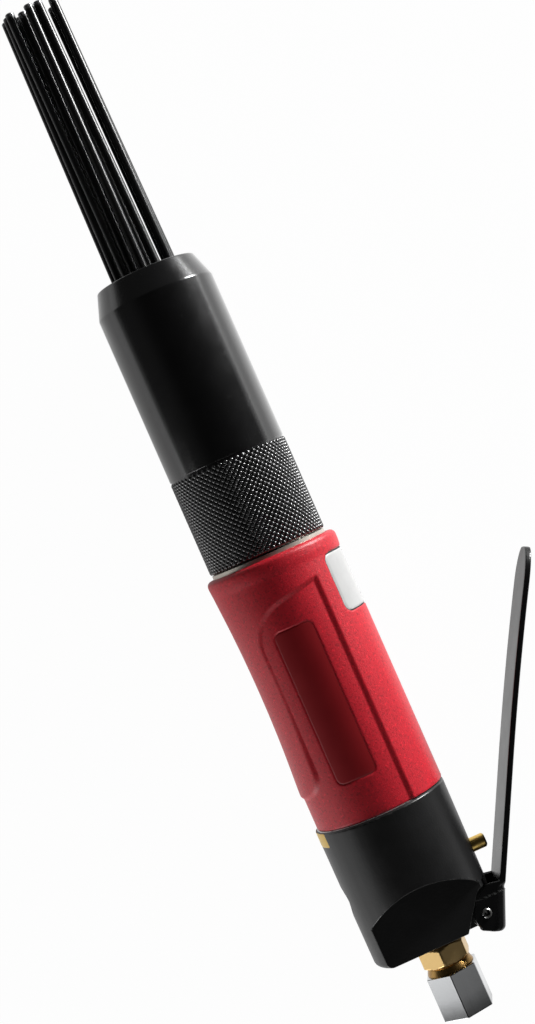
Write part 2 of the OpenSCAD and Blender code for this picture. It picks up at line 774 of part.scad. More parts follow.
// Full grip, with a waist that only the back side reaches
module grip_body() {
    top = 3.5;
    lip = 0.3;
    shift = 3;
    mid = (z_rim + z_grip_top) / 2 + 4;
    sag = pad_r - waist_r + 0.2;
    waist_arc_r = (pow(waist_len / 2, 2) + sag * sag) / (2 * sag);
    intersection() {
        union() {
            bar(pad_r - panel_depth, z_rim, z_grip_top - EPS);
            difference() {
                rotate_extrude()
                    polygon([[0, z_rim], [pad_r - 0.4, z_rim], [pad_r, z_rim + 0.4],
                             [pad_r, z_grip_top - 2 * top], [pad_r + lip, z_grip_top - top],
                             [pad_r + lip, z_grip_top - 1.2], [pad_r + lip - 1.2, z_grip_top], [0, z_grip_top]]);
                slab_y(FAR) panel_outline();
            }
        }
        translate([shift, 0, 0])
            rotate_extrude()
                polygon(concat([[0, z_rim - EPS], [FAR / 4, z_rim - EPS], [FAR / 4, mid - waist_len / 2]],
                    [for (i = [-6:6]) let (z = waist_len / 2 * i / 6)
                        [waist_r + shift + waist_arc_r - sqrt(waist_arc_r * waist_arc_r - z * z), mid + z]],
                    [[FAR / 4, mid + waist_len / 2], [FAR / 4, z_grip_top + EPS], [0, z_grip_top + EPS]]));
    }
}

module grip_sleeve() color(RED) tool() difference() {
    grip_body();
    bar(barrel_r + fit, z_rim - EPS, z_grip_top + EPS);
    bar(barrel_r + 2, z_grip_top - ring_seat, z_grip_top + EPS);
    difference() {
        translate([-badge_back, -FAR / 4, z_grip_top - badge_top - badge_len / 2])
            slab_y(FAR / 2) round_rect(badge_w, badge_len, 2.5);
        bar(pad_r - panel_depth - field_depth, 0, z_nose);
    }
    difference() {
        translate([0, 0, z_grip_top - label_top - label_len / 2])
            slab_x(0, FAR) round_rect(2 * label_half, label_len, 3);
        bar(pad_r - field_depth, 0, z_nose);
    }
}

module lock_ring() color("#d8cfbf") tool()
    ring(barrel_r + 1.9, barrel_r + fit, z_grip_top - ring_seat, z_nozzle);

// Anvil

module anvil_bush() color(BRASS) tool() difference() {
    bar(anvil_bush_r - fit, z_anvil_bush, z_bumper);
    bar(shank_r + slide, z_anvil_bush - EPS, z_bumper + EPS);
    bar(shank_r + 2.5, z_bumper - 2, z_bumper + EPS);
}

module anvil_seal() color(RUBBER) tool()
    ring(shank_r + 2.5 - fit, shank_r + slide, z_bumper - 2, z_bumper);

module anvil_bumper() color(RUBBER) tool()
    ring(anvil_bush_r - fit, shank_r + 1, z_bumper, z_bumper + bumper_t);

module anvil() color(STEEL) tool() {
    tail = 1;
    rotate_extrude()
        polygon([[0, z_anvil], [shank_r - tail, z_anvil], [shank_r, z_anvil + tail], [shank_r, z_collar],
                 [collar_r, z_collar], [collar_r, z_face], [face_r, z_face],
                 [face_r, z_face + face_t - tail], [face_r - tail, z_face + face_t], [0, z_face + face_t]]);
}

// Nozzle

module nozzle() color(BLACK) tool() difference() {
    rotate_extrude()
        polygon([[0, z_nozzle], [nozzle_r - 1, z_nozzle], [nozzle_r - knurl_depth, z_nozzle + 1],
                 [nozzle_r - knurl_depth, z_nozzle + knurl_len], [nozzle_r, z_nozzle + knurl_len],
                 [nozzle_r, z_nose - nose_len], [nose_r, z_nose], [0, z_nose]]);
    bar(front_thread_r + fit, z_nozzle - EPS, z_barrel_end + 2 * seat_gap);
    bar(nozzle_bore_r, z_barrel_end, z_shoulder);
    bar(mouth_r, z_nozzle, z_nose + EPS);
}

// Needles

// Stands a piece on a needle's head, leaning as the needle does
module at_needle(i) {
    site = needle_sites[i];
    stray = needle_stray(i);
    head = site[0] * [cos(site[1]), sin(site[1])];
    turn = site[1] + stray[0];
    lean = site[0] * tip_ratio * stray[1] * [cos(turn), sin(turn)] - head;
    translate([head[0], head[1], z_needle])
        rotate([0, asin(norm(lean) / needle_len), atan2(lean[1], lean[0])])
            children();
}

module needle(i) color(BLACK) tool() at_needle(i) {
    tip = 0.3;
    cylinder(r = head_r, h = head_t);
    cylinder(r = needle_r, h = needle_len - tip);
    translate([0, 0, needle_len - tip]) cylinder(r1 = needle_r, r2 = needle_r - tip, h = tip);
}

module needle_holder() color(STEEL) tool() difference() {
    bar(nozzle_bore_r - slide, z_holder, z_spring);
    for (i = [0:len(needle_sites) - 1]) at_needle(i) cylinder(r = needle_r + fit, h = needle_len);
}

spring_coil_r = nozzle_bore_r - 0.7 - spring_wire_r;
spring_len = z_shoulder - z_spring - seat_gap;
module needle_spring() color(STEEL) tool()
    translate([0, 0, z_spring + seat_gap / 2])
        coil(spring_coil_r, spring_wire_r, spring_len, spring_turns, steps = 16);

echo(throttle_spring_gap = coil_gap(throttle_coil_r, throttle_wire_r,
    (throttle_coil_len - 2 * throttle_wire_r) / throttle_turns, 12));
echo(needle_spring_gap = coil_gap(spring_coil_r, spring_wire_r,
    (spring_len - 2 * spring_wire_r) / spring_turns, 16));
echo(piston_stroke = piston_stroke);

inlet_fitting();
inlet_bush();
inlet_screen();
inlet_washer();
rear_housing();
lever();
lever_pin();
throttle_stem();
throttle_seal();
throttle_bush();
stem_seal();
throttle_spring();
throttle_plug();
plug_seal();
chest_gasket();
valve_seat_rear();
valve_disc();
valve_seat_front();
valve_dowel();
barrel();
barrel_seal();
piston();
grip_sleeve();
lock_ring();
anvil_bush();
anvil_seal();
anvil_bumper();
anvil();
nozzle();
nozzle_seal();
needle_holder();
needle_spring();
for (i = [0:len(needle_sites) - 1])
    needle(i);
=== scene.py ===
"""Finishes and small parts for a pneumatic needle scaler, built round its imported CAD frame.

Sizes and colours sit in property groups, each piece or group of like pieces has an operator,
and main() runs the operators in order. Everything is in metres, in the frame's own axes: the
tool lies along +Y with its lever towards +X and its shown side towards +Z.
"""

import json
import math

import bmesh
import bpy
import numpy as np
from bpy.props import FloatProperty, FloatVectorProperty, IntProperty, PointerProperty
from mathutils import Matrix, Vector

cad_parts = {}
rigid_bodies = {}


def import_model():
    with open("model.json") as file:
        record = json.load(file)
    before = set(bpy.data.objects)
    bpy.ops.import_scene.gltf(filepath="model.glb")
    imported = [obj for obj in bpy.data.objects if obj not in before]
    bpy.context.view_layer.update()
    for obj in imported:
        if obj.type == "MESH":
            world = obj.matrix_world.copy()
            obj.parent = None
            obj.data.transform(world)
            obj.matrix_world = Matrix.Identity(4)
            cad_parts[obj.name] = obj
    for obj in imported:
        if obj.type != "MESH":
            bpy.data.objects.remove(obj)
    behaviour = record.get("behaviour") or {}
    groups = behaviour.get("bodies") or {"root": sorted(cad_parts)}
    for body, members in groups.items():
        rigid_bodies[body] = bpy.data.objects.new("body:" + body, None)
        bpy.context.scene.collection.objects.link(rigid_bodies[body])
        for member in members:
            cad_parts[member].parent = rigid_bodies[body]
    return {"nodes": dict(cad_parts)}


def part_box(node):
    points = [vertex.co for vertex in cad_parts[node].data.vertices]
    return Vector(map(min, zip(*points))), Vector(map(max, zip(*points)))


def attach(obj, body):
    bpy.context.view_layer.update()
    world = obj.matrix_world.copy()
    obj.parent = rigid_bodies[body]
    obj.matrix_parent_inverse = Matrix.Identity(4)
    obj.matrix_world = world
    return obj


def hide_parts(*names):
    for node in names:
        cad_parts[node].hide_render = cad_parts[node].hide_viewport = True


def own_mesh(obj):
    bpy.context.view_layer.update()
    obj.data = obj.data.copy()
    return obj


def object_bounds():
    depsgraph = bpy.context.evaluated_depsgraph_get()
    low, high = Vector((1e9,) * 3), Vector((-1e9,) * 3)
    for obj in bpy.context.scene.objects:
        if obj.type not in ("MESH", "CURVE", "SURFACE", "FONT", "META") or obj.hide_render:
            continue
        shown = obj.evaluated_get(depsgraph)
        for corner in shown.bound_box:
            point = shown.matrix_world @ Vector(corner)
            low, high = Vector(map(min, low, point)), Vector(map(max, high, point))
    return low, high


bl_info = {
    "name": "Needle scaler finishes",
    "version": (1, 0, 0),
    "blender": (4, 5, 0),
    "location": "View3D > Sidebar > Scaler",
    "description": "Dresses the frame of an air needle scaler with finished pieces and materials",
    "category": "Object",
}

for startup in list(bpy.data.objects):
    bpy.data.objects.remove(startup)
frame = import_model()
CAD_BOX = [list(corner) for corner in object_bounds()]
MM = 0.001


def station(node, end):
    """A node's first (end 0) or last (end 1) station along the tool's axis."""
    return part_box(node)[end].y


GRIP_REAR, GRIP_FRONT = station("grip_sleeve", 0), station("grip_sleeve", 1)
NOZZLE_REAR, NOZZLE_FRONT = station("nozzle", 0), station("nozzle", 1)
PIN_LOW, PIN_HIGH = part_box("lever_pin")
PIN = (PIN_LOW + PIN_HIGH) / 2.0
PIN_RADIUS = (PIN_HIGH.x - PIN_LOW.x) / 2.0
PIN_HALF = (PIN_HIGH.z - PIN_LOW.z) / 2.0


def length(label, note, default):
    """A length property in metres."""
    return FloatProperty(name=label, description=note, default=default, unit="LENGTH", precision=5)


def angle(label, note, degrees):
    """An angle property, with its default in degrees."""
    return FloatProperty(name=label, description=note, default=math.radians(degrees), subtype="ANGLE")


def number(label, note, default):
    """A plain number property."""
    return FloatProperty(name=label, description=note, default=default)


def numbers(label, note, defaults):
    """A property of a few plain numbers."""
    return FloatVectorProperty(name=label, description=note, default=defaults, size=len(defaults))


def white_share(label, note, default):
    """A property for a share of plain white."""
    return FloatProperty(name=label, description=note, default=default, subtype="FACTOR")


def colour(label, note, default):
    """A linear colour property."""
    return FloatVectorProperty(name=label, description=note, default=default, subtype="COLOR",
                               size=3, min=0.0, max=1.0)


class GripSizes(bpy.types.PropertyGroup):
    """Sizes of the moulded grip and of the plates that lie in it."""

    pad: length("Pad radius", "Radius of the grip's raised pads", 23.7 * MM)
    panel: length("Panel radius", "Radius of the sunk side panels", 22.78 * MM)
    lip: length("Lip", "Height of the lip at the front end over the pads", 0.3 * MM)
    waist: length("Waist radius", "Least radius on the back side", 22.2 * MM)
    bore: length("Bore radius", "Radius of the bore on the barrel", 19.05 * MM)
    edge: length("Edge", "Half width of the step between pad and panel", 1.0 * MM)
    twist: angle("Twist", "Turn of the grip on the barrel", 3.2)
    panel_front: length("Panel front", "Panel edge on the lever side, from the axis", 11.7 * MM)
    panel_back: length("Panel back", "Panel edge on the back side, from the axis", 15.4 * MM)
    badge_width: length("Badge width", "Width of the sunk badge field", 14.5 * MM)
    badge_rear: length("Badge rear", "Rear end of the badge field", 90.9 * MM)
    badge_front: length("Badge front", "Front end of the badge field", 146.2 * MM)
    badge_shift: length("Badge shift", "Badge field's middle, towards the back", 2.4 * MM)
    label_half: length("Label half width", "Half of the label field's width", 16.7 * MM)
    label_rear: length("Label rear", "Rear end of the label field", 142.3 * MM)
    label_front: length("Label front", "Front end of the label field", 164.0 * MM)
    field: length("Field depth", "Depth of the badge and label fields", 0.4 * MM)


class NozzleSizes(bpy.types.PropertyGroup):
    """Sizes of the front tube and of its knurled band."""

    tube: length("Tube radius", "Outer radius of the tube", 21.15 * MM)
    nose: length("Nose radius", "Radius of the front face", 18.0 * MM)
    nose_length: length("Nose length", "Length of the nose chamfer", 8.9 * MM)
    mouth: length("Mouth radius", "Radius of the mouth", 13.5 * MM)
    knurl_length: length("Knurl length", "Length of the knurled band", 35.0 * MM)
    knurl_floor: length("Knurl floor", "Radius at the bottom of the knurl", 20.9 * MM)
    stud_height: length("Stud height", "Height of a knurl stud over the floor", 0.45 * MM)
    row_pitch: length("Row pitch", "Distance from one row of studs to the next", 1.04 * MM)
    around: IntProperty(name="Studs around", description="Knurl studs in one row", default=63)


class LeverSizes(bpy.types.PropertyGroup):
    """Sizes of the throttle lever, measured from its pin."""

    lean: angle("Lean", "Angle between the released lever and the tool's axis", 27.7)
    reach: length("Reach", "Length of the lever from its pin", 125.0 * MM)
    half: length("Half width", "Half of the lever's width", 9.5 * MM)
    sheet: length("Sheet", "Thickness of the lever's sheet", 2.0 * MM)
    offset: length("Offset", "Distance from the pin to the inner face", 3.8 * MM)
    straight: length("Straight", "Length of the straight part", 50.0 * MM)
    flare: angle("Flare", "Outward turn at the tip", 3.3)
    tip: length("Tip", "Length of the rounded tip", 12.0 * MM)
    heel: length("Heel", "Length of the ears behind the pin", 6.2 * MM)
    ears: length("Ears", "Length of the ears ahead of the pin", 11.1 * MM)
    saddle: length("Saddle", "How far the saddle stands out at the ears", 0.4 * MM)
    saddle_back: length("Saddle back", "How far the saddle stands out at the lever's back", 1.0 * MM)
    bead: length("Bead", "Height of the weld bead at the saddle's end", 0.18 * MM)


class Colours(bpy.types.PropertyGroup):
    """Colours of the finishes."""

    grip: colour("Grip", "Moulded red of the grip", (0.60, 0.012, 0.026))
    badge: colour("Badge", "Dark red of the bare badge plate", (0.33, 0.009, 0.014))
    label: colour("Label", "White of the blank label", (0.53, 0.53, 0.525))
    patch: colour("Patch", "Gold of the plain patch on the housing", (0.80, 0.53, 0.11))
    black: colour("Black", "Black of the tube, the housing and the lever", (0.0045, 0.0045, 0.0047))
    brass: colour("Brass", "Turned brass", (0.68, 0.40, 0.13))
    bronze: colour("Bronze", "Bored bronze", (0.55, 0.32, 0.15))
    plate: colour("Zinc plate", "Bright plate on the inlet fitting", (0.60, 0.61, 0.62))
    steel: colour("Steel", "Ground steel", (0.55, 0.55, 0.56))
    ring: colour("Pale ring", "Pale ring in front of the grip", (0.66, 0.57, 0.44))


class StageSettings(bpy.types.PropertyGroup):
    """Camera, lamps and floor."""

    distance: length("Distance", "Camera to the point it looks at", 617.5 * MM)
    lens: number("Lens", "Focal length in millimetres on a 36 mm frame", 63.08)
    shift: numbers("Shift", "Shift of the picture in frame heights", (-0.0007, 0.0007))
    roll: angle("Roll", "Turn of the tool in the picture", 23.82)
    lean: angle("Lean", "Lean of the camera towards the back side", 2.5)
    key: number("Key lamp", "Radiance of the lamp on the lever side", 80.0)
    fill: number("Fill lamp", "Radiance of the lamp on the back side", 1.1)
    rear: number("Rear lamp", "Radiance of the lamp behind the back side", 8.5)
    top: number("Top lamp", "Radiance of the lamp behind the inlet", 0.8)
    window: number("Window", "Radiance of the small lamp over the lever side", 0.25)
    horizon: numbers("Horizon", "Radiance of the room at eye level, back and lever side", (0.16, 0.45))
    sky: numbers("Sky", "Radiance of the dim room halfway up and overhead", (0.030, 0.008))
    floor_seen: white_share("Floor seen", "Share of plain white in the floor itself", 0.98)
    floor_bounce: white_share("Floor bounce", "Share of plain white in the light it throws back", 0.6)
    floor_mirrored: numbers("Floor mirrored", "Share of plain white in its reflections: on the back side "
                            "at the inlet and at the needles, and on the lever side close to the tool "
                            "and further off", (0.95, 0.30, 1.0, 0.42))


class Wire:
    """An output socket in a node tree; Python's operators on it add Math nodes."""

    def __init__(self, nodes, socket):
        self.nodes = nodes
        self.socket = socket

    def __add__(self, other):
        return self.nodes.math("ADD", self, other)

    __radd__ = __add__

    def __sub__(self, other):
        return self.nodes.math("SUBTRACT", self, other)

    def __rsub__(self, other):
        return self.nodes.math("SUBTRACT", other, self)

    def __mul__(self, other):
        return self.nodes.math("MULTIPLY", self, other)

    __rmul__ = __mul__

    def __truediv__(self, other):
        return self.nodes.math("DIVIDE", self, other)

    def __pow__(self, other):
        return self.nodes.math("POWER", self, other)


class Nodes:
    """Builds the nodes of one tree."""

    def __init__(self, tree):
        self.tree = tree

    def node(self, kind, settings=None, inputs=None, output=0):
        """Adds a node, sets it up, fills or links its sockets and gives back one output."""
        made = self.tree.nodes.new(kind)
        for key, value in (settings or {}).items():
            setattr(made, key, value)
        for key, value in (inputs or {}).items():
            if isinstance(value, Wire):
                self.tree.links.new(value.socket, made.inputs[key])
            else:
                made.inputs[key].default_value = value
        return Wire(self, made.outputs[output]) if made.outputs else None

    def math(self, operation, first, second=0.0):
        return self.node("ShaderNodeMath", {"operation": operation}, {0: first, 1: second})


class Paint(Nodes):
    """Builds the shader nodes of one material or world."""

    def __init__(self, name, kind="materials"):
        self.owner = getattr(bpy.data, kind).new(name)
        self.owner.use_nodes = True
        super().__init__(self.owner.node_tree)
        self.tree.nodes.clear()

    def spot(self):
        """Object coordinates."""
        return self.node("ShaderNodeTexCoord", output="Object")

    def axis(self, index):
        """One of the Object coordinates."""
        return self.node("ShaderNodeSeparateXYZ", None, {0: self.spot()}, index)

    def noise(self, scale, detail=3.0, rough=0.5, stretch=(1.0, 1.0, 1.0)):
        """Noise whose cells are about 1/scale metres wide."""
        place = self.node("ShaderNodeMapping", None, {"Vector": self.spot(), "Scale": stretch})
        return self.node("ShaderNodeTexNoise", None, {
            "Vector": place, "Scale": scale, "Detail": detail, "Roughness": rough})

    def step(self, value, low, high, first=0.0, last=1.0):
        """Goes smoothly from first to last as value goes from low to high."""
        return self.node("ShaderNodeMapRange", {"interpolation_type": "SMOOTHSTEP"}, {
            "Value": value, "From Min": low, "From Max": high, "To Min": first, "To Max": last})

    def blend(self, first, second, share):
        """Mixes two colours."""
        pair = [c if isinstance(c, Wire) else (*c[:3], 1.0) for c in (first, second)]
        return self.node("ShaderNodeMix", {"data_type": "RGBA"}, {0: share, 6: pair[0], 7: pair[1]}, 2)

    def relief(self, height, strength, depth):
        """A bump from a height, depth metres deep at full strength."""
        return self.node("ShaderNodeBump", None, {"Height": height, "Strength": strength, "Distance": depth})

    def surface(self, sockets):
        """Closes the material with a Principled shader."""
        shader = self.node("ShaderNodeBsdfPrincipled", None, sockets)
        self.node("ShaderNodeOutputMaterial", None, {"Surface": shader})
        return self.owner


def shade(rgb, factor):
    """A colour made lighter or darker."""
    return tuple(min(1.0, channel * factor) for channel in rgb)


def colours():
    return bpy.context.scene.scaler_colours


OXIDE_INDEX = 1.9
ALONG_LINES = (50.0, 5000.0, 50.0)
CROSS_LINES = (5000.0, 60.0, 60.0)
DRAWN_LINES = (2600.0, 30.0, 2600.0)
PLATE_LINES = (1400.0, 25.0, 1400.0)
BRUSH_LINES = (4000.0, 120.0, 4000.0)
ROLLED_LINES = (1500.0, 1500.0, 50.0)


def tube_black():
    """Satin black oxide with a fine grain and light scuffs."""
    paint = Paint("tube_black")
    black = colours().black
    mottle = paint.noise(160.0, 4.0)
    scuff = paint.step(paint.noise(420.0, 5.0, 0.65), 0.60, 0.74)
    grain = paint.noise(1500.0, 3.0, 0.7)
    return paint.surface({
        "Base Color": paint.blend(shade(black, 0.8), shade(black, 1.5), mottle),
        "Roughness": 0.14 + 0.08 * mottle + 0.10 * scuff,
        "Normal": paint.relief(grain, 0.30, 0.04 * MM),
        "IOR": OXIDE_INDEX,
        "Coat Weight": 1.0 - 0.3 * scuff,
        "Coat Roughness": 0.08,
    })


def knurl_black():
    """The tube's black with its crests brighter: partly rubbed metal, partly a painted highlight standing in
    for the studs' glints.
    """
    paint = Paint("knurl_black")
    across, up = paint.axis(0), paint.axis(2)
    radius = (across * across + up * up) ** 0.5
    crest = paint.step(radius, 21.20 * MM, 21.33 * MM)
    # Brighter crests: partly real wear, partly a painted highlight for the studs' glints.
    rubbed_and_glint = crest * paint.step(paint.noise(300.0, 3.0), 0.35, 0.70)
    return paint.surface({
        "Base Color": paint.blend(colours().black, (0.12, 0.12, 0.125), rubbed_and_glint * 0.8),
        "Roughness": 0.20 + 0.12 * paint.noise(500.0),
        "IOR": OXIDE_INDEX,
        "Metallic": rubbed_and_glint * 0.7,
    })


def housing_black():
    """Black enamel on a casting, with a fine grain."""
    paint = Paint("housing_black")
    black = colours().black
    mottle = paint.noise(120.0, 4.0)
    grain = paint.noise(1400.0, 3.0, 0.6)
    return paint.surface({
        "Base Color": paint.blend(shade(black, 0.9), shade(black, 1.7), mottle),
        "Roughness": 0.36 + 0.12 * mottle,
        "Normal": paint.relief(grain, 0.50, 0.07 * MM),
    })


def lever_enamel(name, rough, index):
    """Black enamel on the lever's sheet steel."""
    paint = Paint(name)
    black = colours().black
    mottle = paint.noise(140.0, 4.0)
    peel = paint.noise(900.0, 2.0)
    return paint.surface({
        "Base Color": paint.blend(shade(black, 0.8), shade(black, 1.5), mottle),
        "Roughness": rough + 0.10 * mottle,
        "IOR": index,
        "Normal": paint.relief(peel, 0.06, 0.02 * MM),
    })


def lever_black():
    """The glossy enamel on the outside of the lever."""
    return lever_enamel("lever_black", 0.20, 1.6)


def lever_inner():
    """The enamel on the lever's inner face, dulled by handling."""
    return lever_enamel("lever_inner", 0.24, 1.33)


def lever_matt():
    """Painted shade on the lever's cut edges by its ears: a darker, matt black that keeps them as dark as
    the shaded gap between the ears.
    """
    paint = Paint("lever_matt")
    grain = paint.noise(1400.0, 3.0)
    return paint.surface({
        "Base Color": paint.blend((0.002, 0.002, 0.002), (0.005, 0.005, 0.005), grain),
        "Roughness": 0.60 + 0.15 * grain,
        "IOR": 1.25,
    })


def pin_steel():
    """Rolled spring steel, its end dulled by paint and dirt."""
    paint = Paint("pin_steel")
    dirt = paint.noise(900.0, 4.0)
    return paint.surface({
        "Base Color": paint.blend((0.40, 0.40, 0.39), (0.26, 0.26, 0.25), dirt),
        "Metallic": 1.0,
        "Roughness": 0.32 + 0.12 * dirt,
    })


def worn_black():
    """Black edges with the metal showing through here and there."""
    paint = Paint("worn_black")
    worn = paint.step(paint.noise(700.0, 5.0, 0.65), 0.50, 0.68)
    return paint.surface({
        "Base Color": paint.blend(shade(colours().black, 1.3), (0.11, 0.11, 0.105), worn * 0.6),
        "Metallic": worn * 0.6,
        "Roughness": 0.24 + 0.12 * paint.noise(300.0),
    })


def worn_rim():
    """The rim behind the grip, rubbed through to bare metal."""
    paint = Paint("worn_rim")
    worn = paint.step(paint.noise(420.0, 5.0, 0.65), 0.31, 0.52)
    return paint.surface({
        "Base Color": paint.blend(shade(colours().black, 2.0), (0.62, 0.61, 0.60), worn * 0.9),
        "Metallic": worn * 0.9,
        "Roughness": 0.22 + 0.14 * paint.noise(300.0),
    })


def grip_red():
    """Moulded red with a fine grain, dark pits, pale flecks and slight mottling."""
    paint = Paint("grip_red")
    red = colours().grip
    cloud = paint.noise(60.0, 4.0, 0.6)
    grain = paint.noise(1700.0, 4.0, 0.7)
    pit = paint.step(paint.noise(1150.0, 3.0, 0.6), 0.50, 0.70)
    fleck = paint.step(paint.noise(850.0, 3.0, 0.65), 0.56, 0.68)
    base = paint.blend(shade(red, 0.88), shade(red, 1.08), cloud)
    pitted = paint.blend(base, shade(red, 0.50), pit * 0.8)
    return paint.surface({
        "Base Color": paint.blend(pitted, shade(red, 1.45), fleck * 0.7),
        "Roughness": 0.36 + 0.12 * grain,
        "Normal": paint.relief(grain, 0.80, 0.14 * MM),
    })


def badge_red():
    """Dark red film, a little glossier than the grip."""
    paint = Paint("badge_red")
    red = colours().badge
    cloud = paint.noise(90.0, 4.0, 0.6)
    grain = paint.noise(3000.0, 3.0, 0.6)
    return paint.surface({
        "Base Color": paint.blend(shade(red, 0.85), shade(red, 1.15), cloud),
        "Roughness": 0.34 + 0.10 * cloud,
        "Normal": paint.relief(grain, 0.10, 0.03 * MM),
    })


def label_white():
    """Blank white film with faint smudges."""
    paint = Paint("label_white")
    white = colours().label
    smudge = paint.step(paint.noise(70.0, 5.0, 0.6), 0.45, 0.75)
    return paint.surface({
        "Base Color": paint.blend(white, shade(white, 0.86), smudge * 0.6),
        "Roughness": 0.30 + 0.15 * smudge,
        "Normal": paint.relief(paint.noise(1800.0, 2.0), 0.06, 0.02 * MM),
    })


def patch_gold():
    """Plain gold film with fine brushing."""
    paint = Paint("patch_gold")
    gold = colours().patch
    brush = paint.noise(1.0, 3.0, 0.6, BRUSH_LINES)
    return paint.surface({
        "Base Color": paint.blend(shade(gold, 0.85), shade(gold, 1.12), brush),
        "Roughness": 0.36 + 0.12 * brush,
        "Metallic": 0.1,
    })


def turned_metal(name, rgb, stretch, rough, tarnish):
    """Machined metal with fine tool lines and a little tarnish."""
    paint = Paint(name)
    lines = paint.noise(1.0, 3.0, 0.6, stretch)
    stain = paint.step(paint.noise(220.0, 5.0, 0.6), 0.46, 0.74)
    clean = paint.blend(shade(rgb, 0.92), shade(rgb, 1.06), lines)
    return paint.surface({
        "Base Color": paint.blend(clean, shade(rgb, 1.0 - tarnish), stain),
        "Metallic": 1.0,
        "Roughness": rough + 0.10 * lines + 0.10 * stain,
        "Normal": paint.relief(lines, 0.06, 0.02 * MM),
    })


def brass():
    return turned_metal("brass", colours().brass, ALONG_LINES, 0.17, 0.30)


# Painted shade: a darker copy of the brass, for the bush's collar below its hexagon.
def dull_brass():
    return turned_metal("dull_brass", shade(colours().brass, 0.6), ALONG_LINES, 0.20, 0.35)


def stem_brass():
    return turned_metal("stem_brass", (0.86, 0.60, 0.18), CROSS_LINES, 0.32, 0.15)


def bronze():
    return turned_metal("bronze", colours().bronze, ALONG_LINES, 0.30, 0.25)


def ground_steel():
    return turned_metal("ground_steel", colours().steel, ALONG_LINES, 0.24, 0.20)


def blued_steel():
    return turned_metal("blued_steel", (0.32, 0.32, 0.325), ROLLED_LINES, 0.22, 0.30)


def zinc_plate():
    """Bright plate with faint lengthwise lines, and painted shade that darkens it towards the mouth."""
    paint = Paint("zinc_plate")
    tone = colours().plate
    lines = paint.noise(1.0, 3.0, 0.6, PLATE_LINES)
    # Painted shade: the plate's colour darkens towards the mouth along a ragged line, fading out ten
    # millimetres from it.
    ragged = paint.axis(1) + 3.0 * MM * paint.noise(260.0, 5.0, 0.65)
    mouth_painted_shade = paint.step(ragged, 0.5 * MM, 10.0 * MM, 1.0, 0.0)
    clean = paint.blend(shade(tone, 0.94), shade(tone, 1.06), lines)
    return paint.surface({
        "Base Color": paint.blend(clean, shade(tone, 0.40), mouth_painted_shade),
        "Metallic": 1.0,
        "Roughness": 0.13 + 0.06 * lines,
        "Normal": paint.relief(lines, 0.06, 0.02 * MM),
    })


def pale_ring():
    """Pale turned ring, bright and slightly warm."""
    paint = Paint("pale_ring")
    tone = colours().ring
    lines = paint.noise(1.0, 2.0, 0.5, ALONG_LINES)
    return paint.surface({
        "Base Color": paint.blend(shade(tone, 0.9), shade(tone, 1.1), lines),
        "Roughness": 0.10 + 0.08 * lines,
        "Metallic": 1.0,
    })


def needle_black():
    """Blackened spring steel, drawn lengthwise, with bare ends."""
    paint = Paint("needle_black")
    drawn = paint.noise(1.0, 3.0, 0.6, DRAWN_LINES)
    mottle = paint.noise(150.0, 4.0, 0.6)
    tip = station("needle_01", 1)
    bare = paint.step(paint.axis(1) + 1.2 * MM * mottle, tip - 1.4 * MM, tip + 0.4 * MM)
    black = paint.blend((0.006, 0.006, 0.006), (0.014, 0.014, 0.014), mottle)
    return paint.surface({
        "Base Color": paint.blend(black, (0.30, 0.30, 0.31), bare * 0.8),
        "Metallic": 0.8 * bare,
        "Roughness": 0.22 + 0.12 * drawn,
        "IOR": 1.40,
        "Normal": paint.relief(drawn, 0.06, 0.02 * MM),
    })


def seal_rubber():
    """Matt black rubber."""
    paint = Paint("seal_rubber")
    grain = paint.noise(1200.0, 3.0)
    return paint.surface({
        "Base Color": paint.blend((0.016, 0.016, 0.016), (0.030, 0.030, 0.030), grain),
        "Roughness": 0.62 + 0.15 * grain,
        "Normal": paint.relief(grain, 0.15, 0.04 * MM),
    })


def finish(maker):
    """The material that a maker builds, made once."""
    return bpy.data.materials.get(maker.__name__) or maker()


def quarter(steps, first=0):
    """Angles of a quarter turn in equal steps."""
    return [math.pi / 2.0 * k / steps for k in range(first, steps + 1)]


def rounded_outline(corners, segments=4):
    """Rounds a closed outline's corners, each given as radius, station and rounding."""
    points = []
    for i, (radius, y, rounding) in enumerate(corners):
        here = Vector((radius, y))
        if not rounding:
            points.append(here)
            continue
        back = Vector(corners[i - 1][:2]) - here
        ahead = Vector(corners[(i + 1) % len(corners)][:2]) - here
        reach = rounding / math.tan(back.angle(ahead) / 2.0)
        reach = min(reach, back.length * 0.45, ahead.length * 0.45)
        first = here + back.normalized() * reach
        last = here + ahead.normalized() * reach
        for k in range(segments + 1):
            t = k / segments
            points.append(first * (1 - t) ** 2 + here * (2 * t * (1 - t)) + last * t * t)
    return points


def ring_at(bm, y, radii, turns):
    """A ring of vertices about the tool's axis, each at a radius and a turn from +X."""
    return [bm.verts.new((r * math.cos(a), y, r * math.sin(a))) for r, a in zip(radii, turns)]


def stitch(bm, rings, loops=True):
    """Joins closed rings of vertices with quads, the last to the first where they loop."""
    pairs = list(zip(rings, rings[1:]))
    if loops:
        pairs.append((rings[-1], rings[0]))
    for near, far in pairs:
        for i in range(len(near)):
            j = (i + 1) % len(near)
            bm.faces.new((near[i], near[j], far[j], far[i]))


def turned(outline, steps):
    """Turns a closed outline of radius and station about the tool's axis."""
    bm = bmesh.new()
    turns = [2.0 * math.pi * i / steps for i in range(steps)]
    stitch(bm, [ring_at(bm, y, [radius] * steps, turns) for radius, y in outline])
    return bm


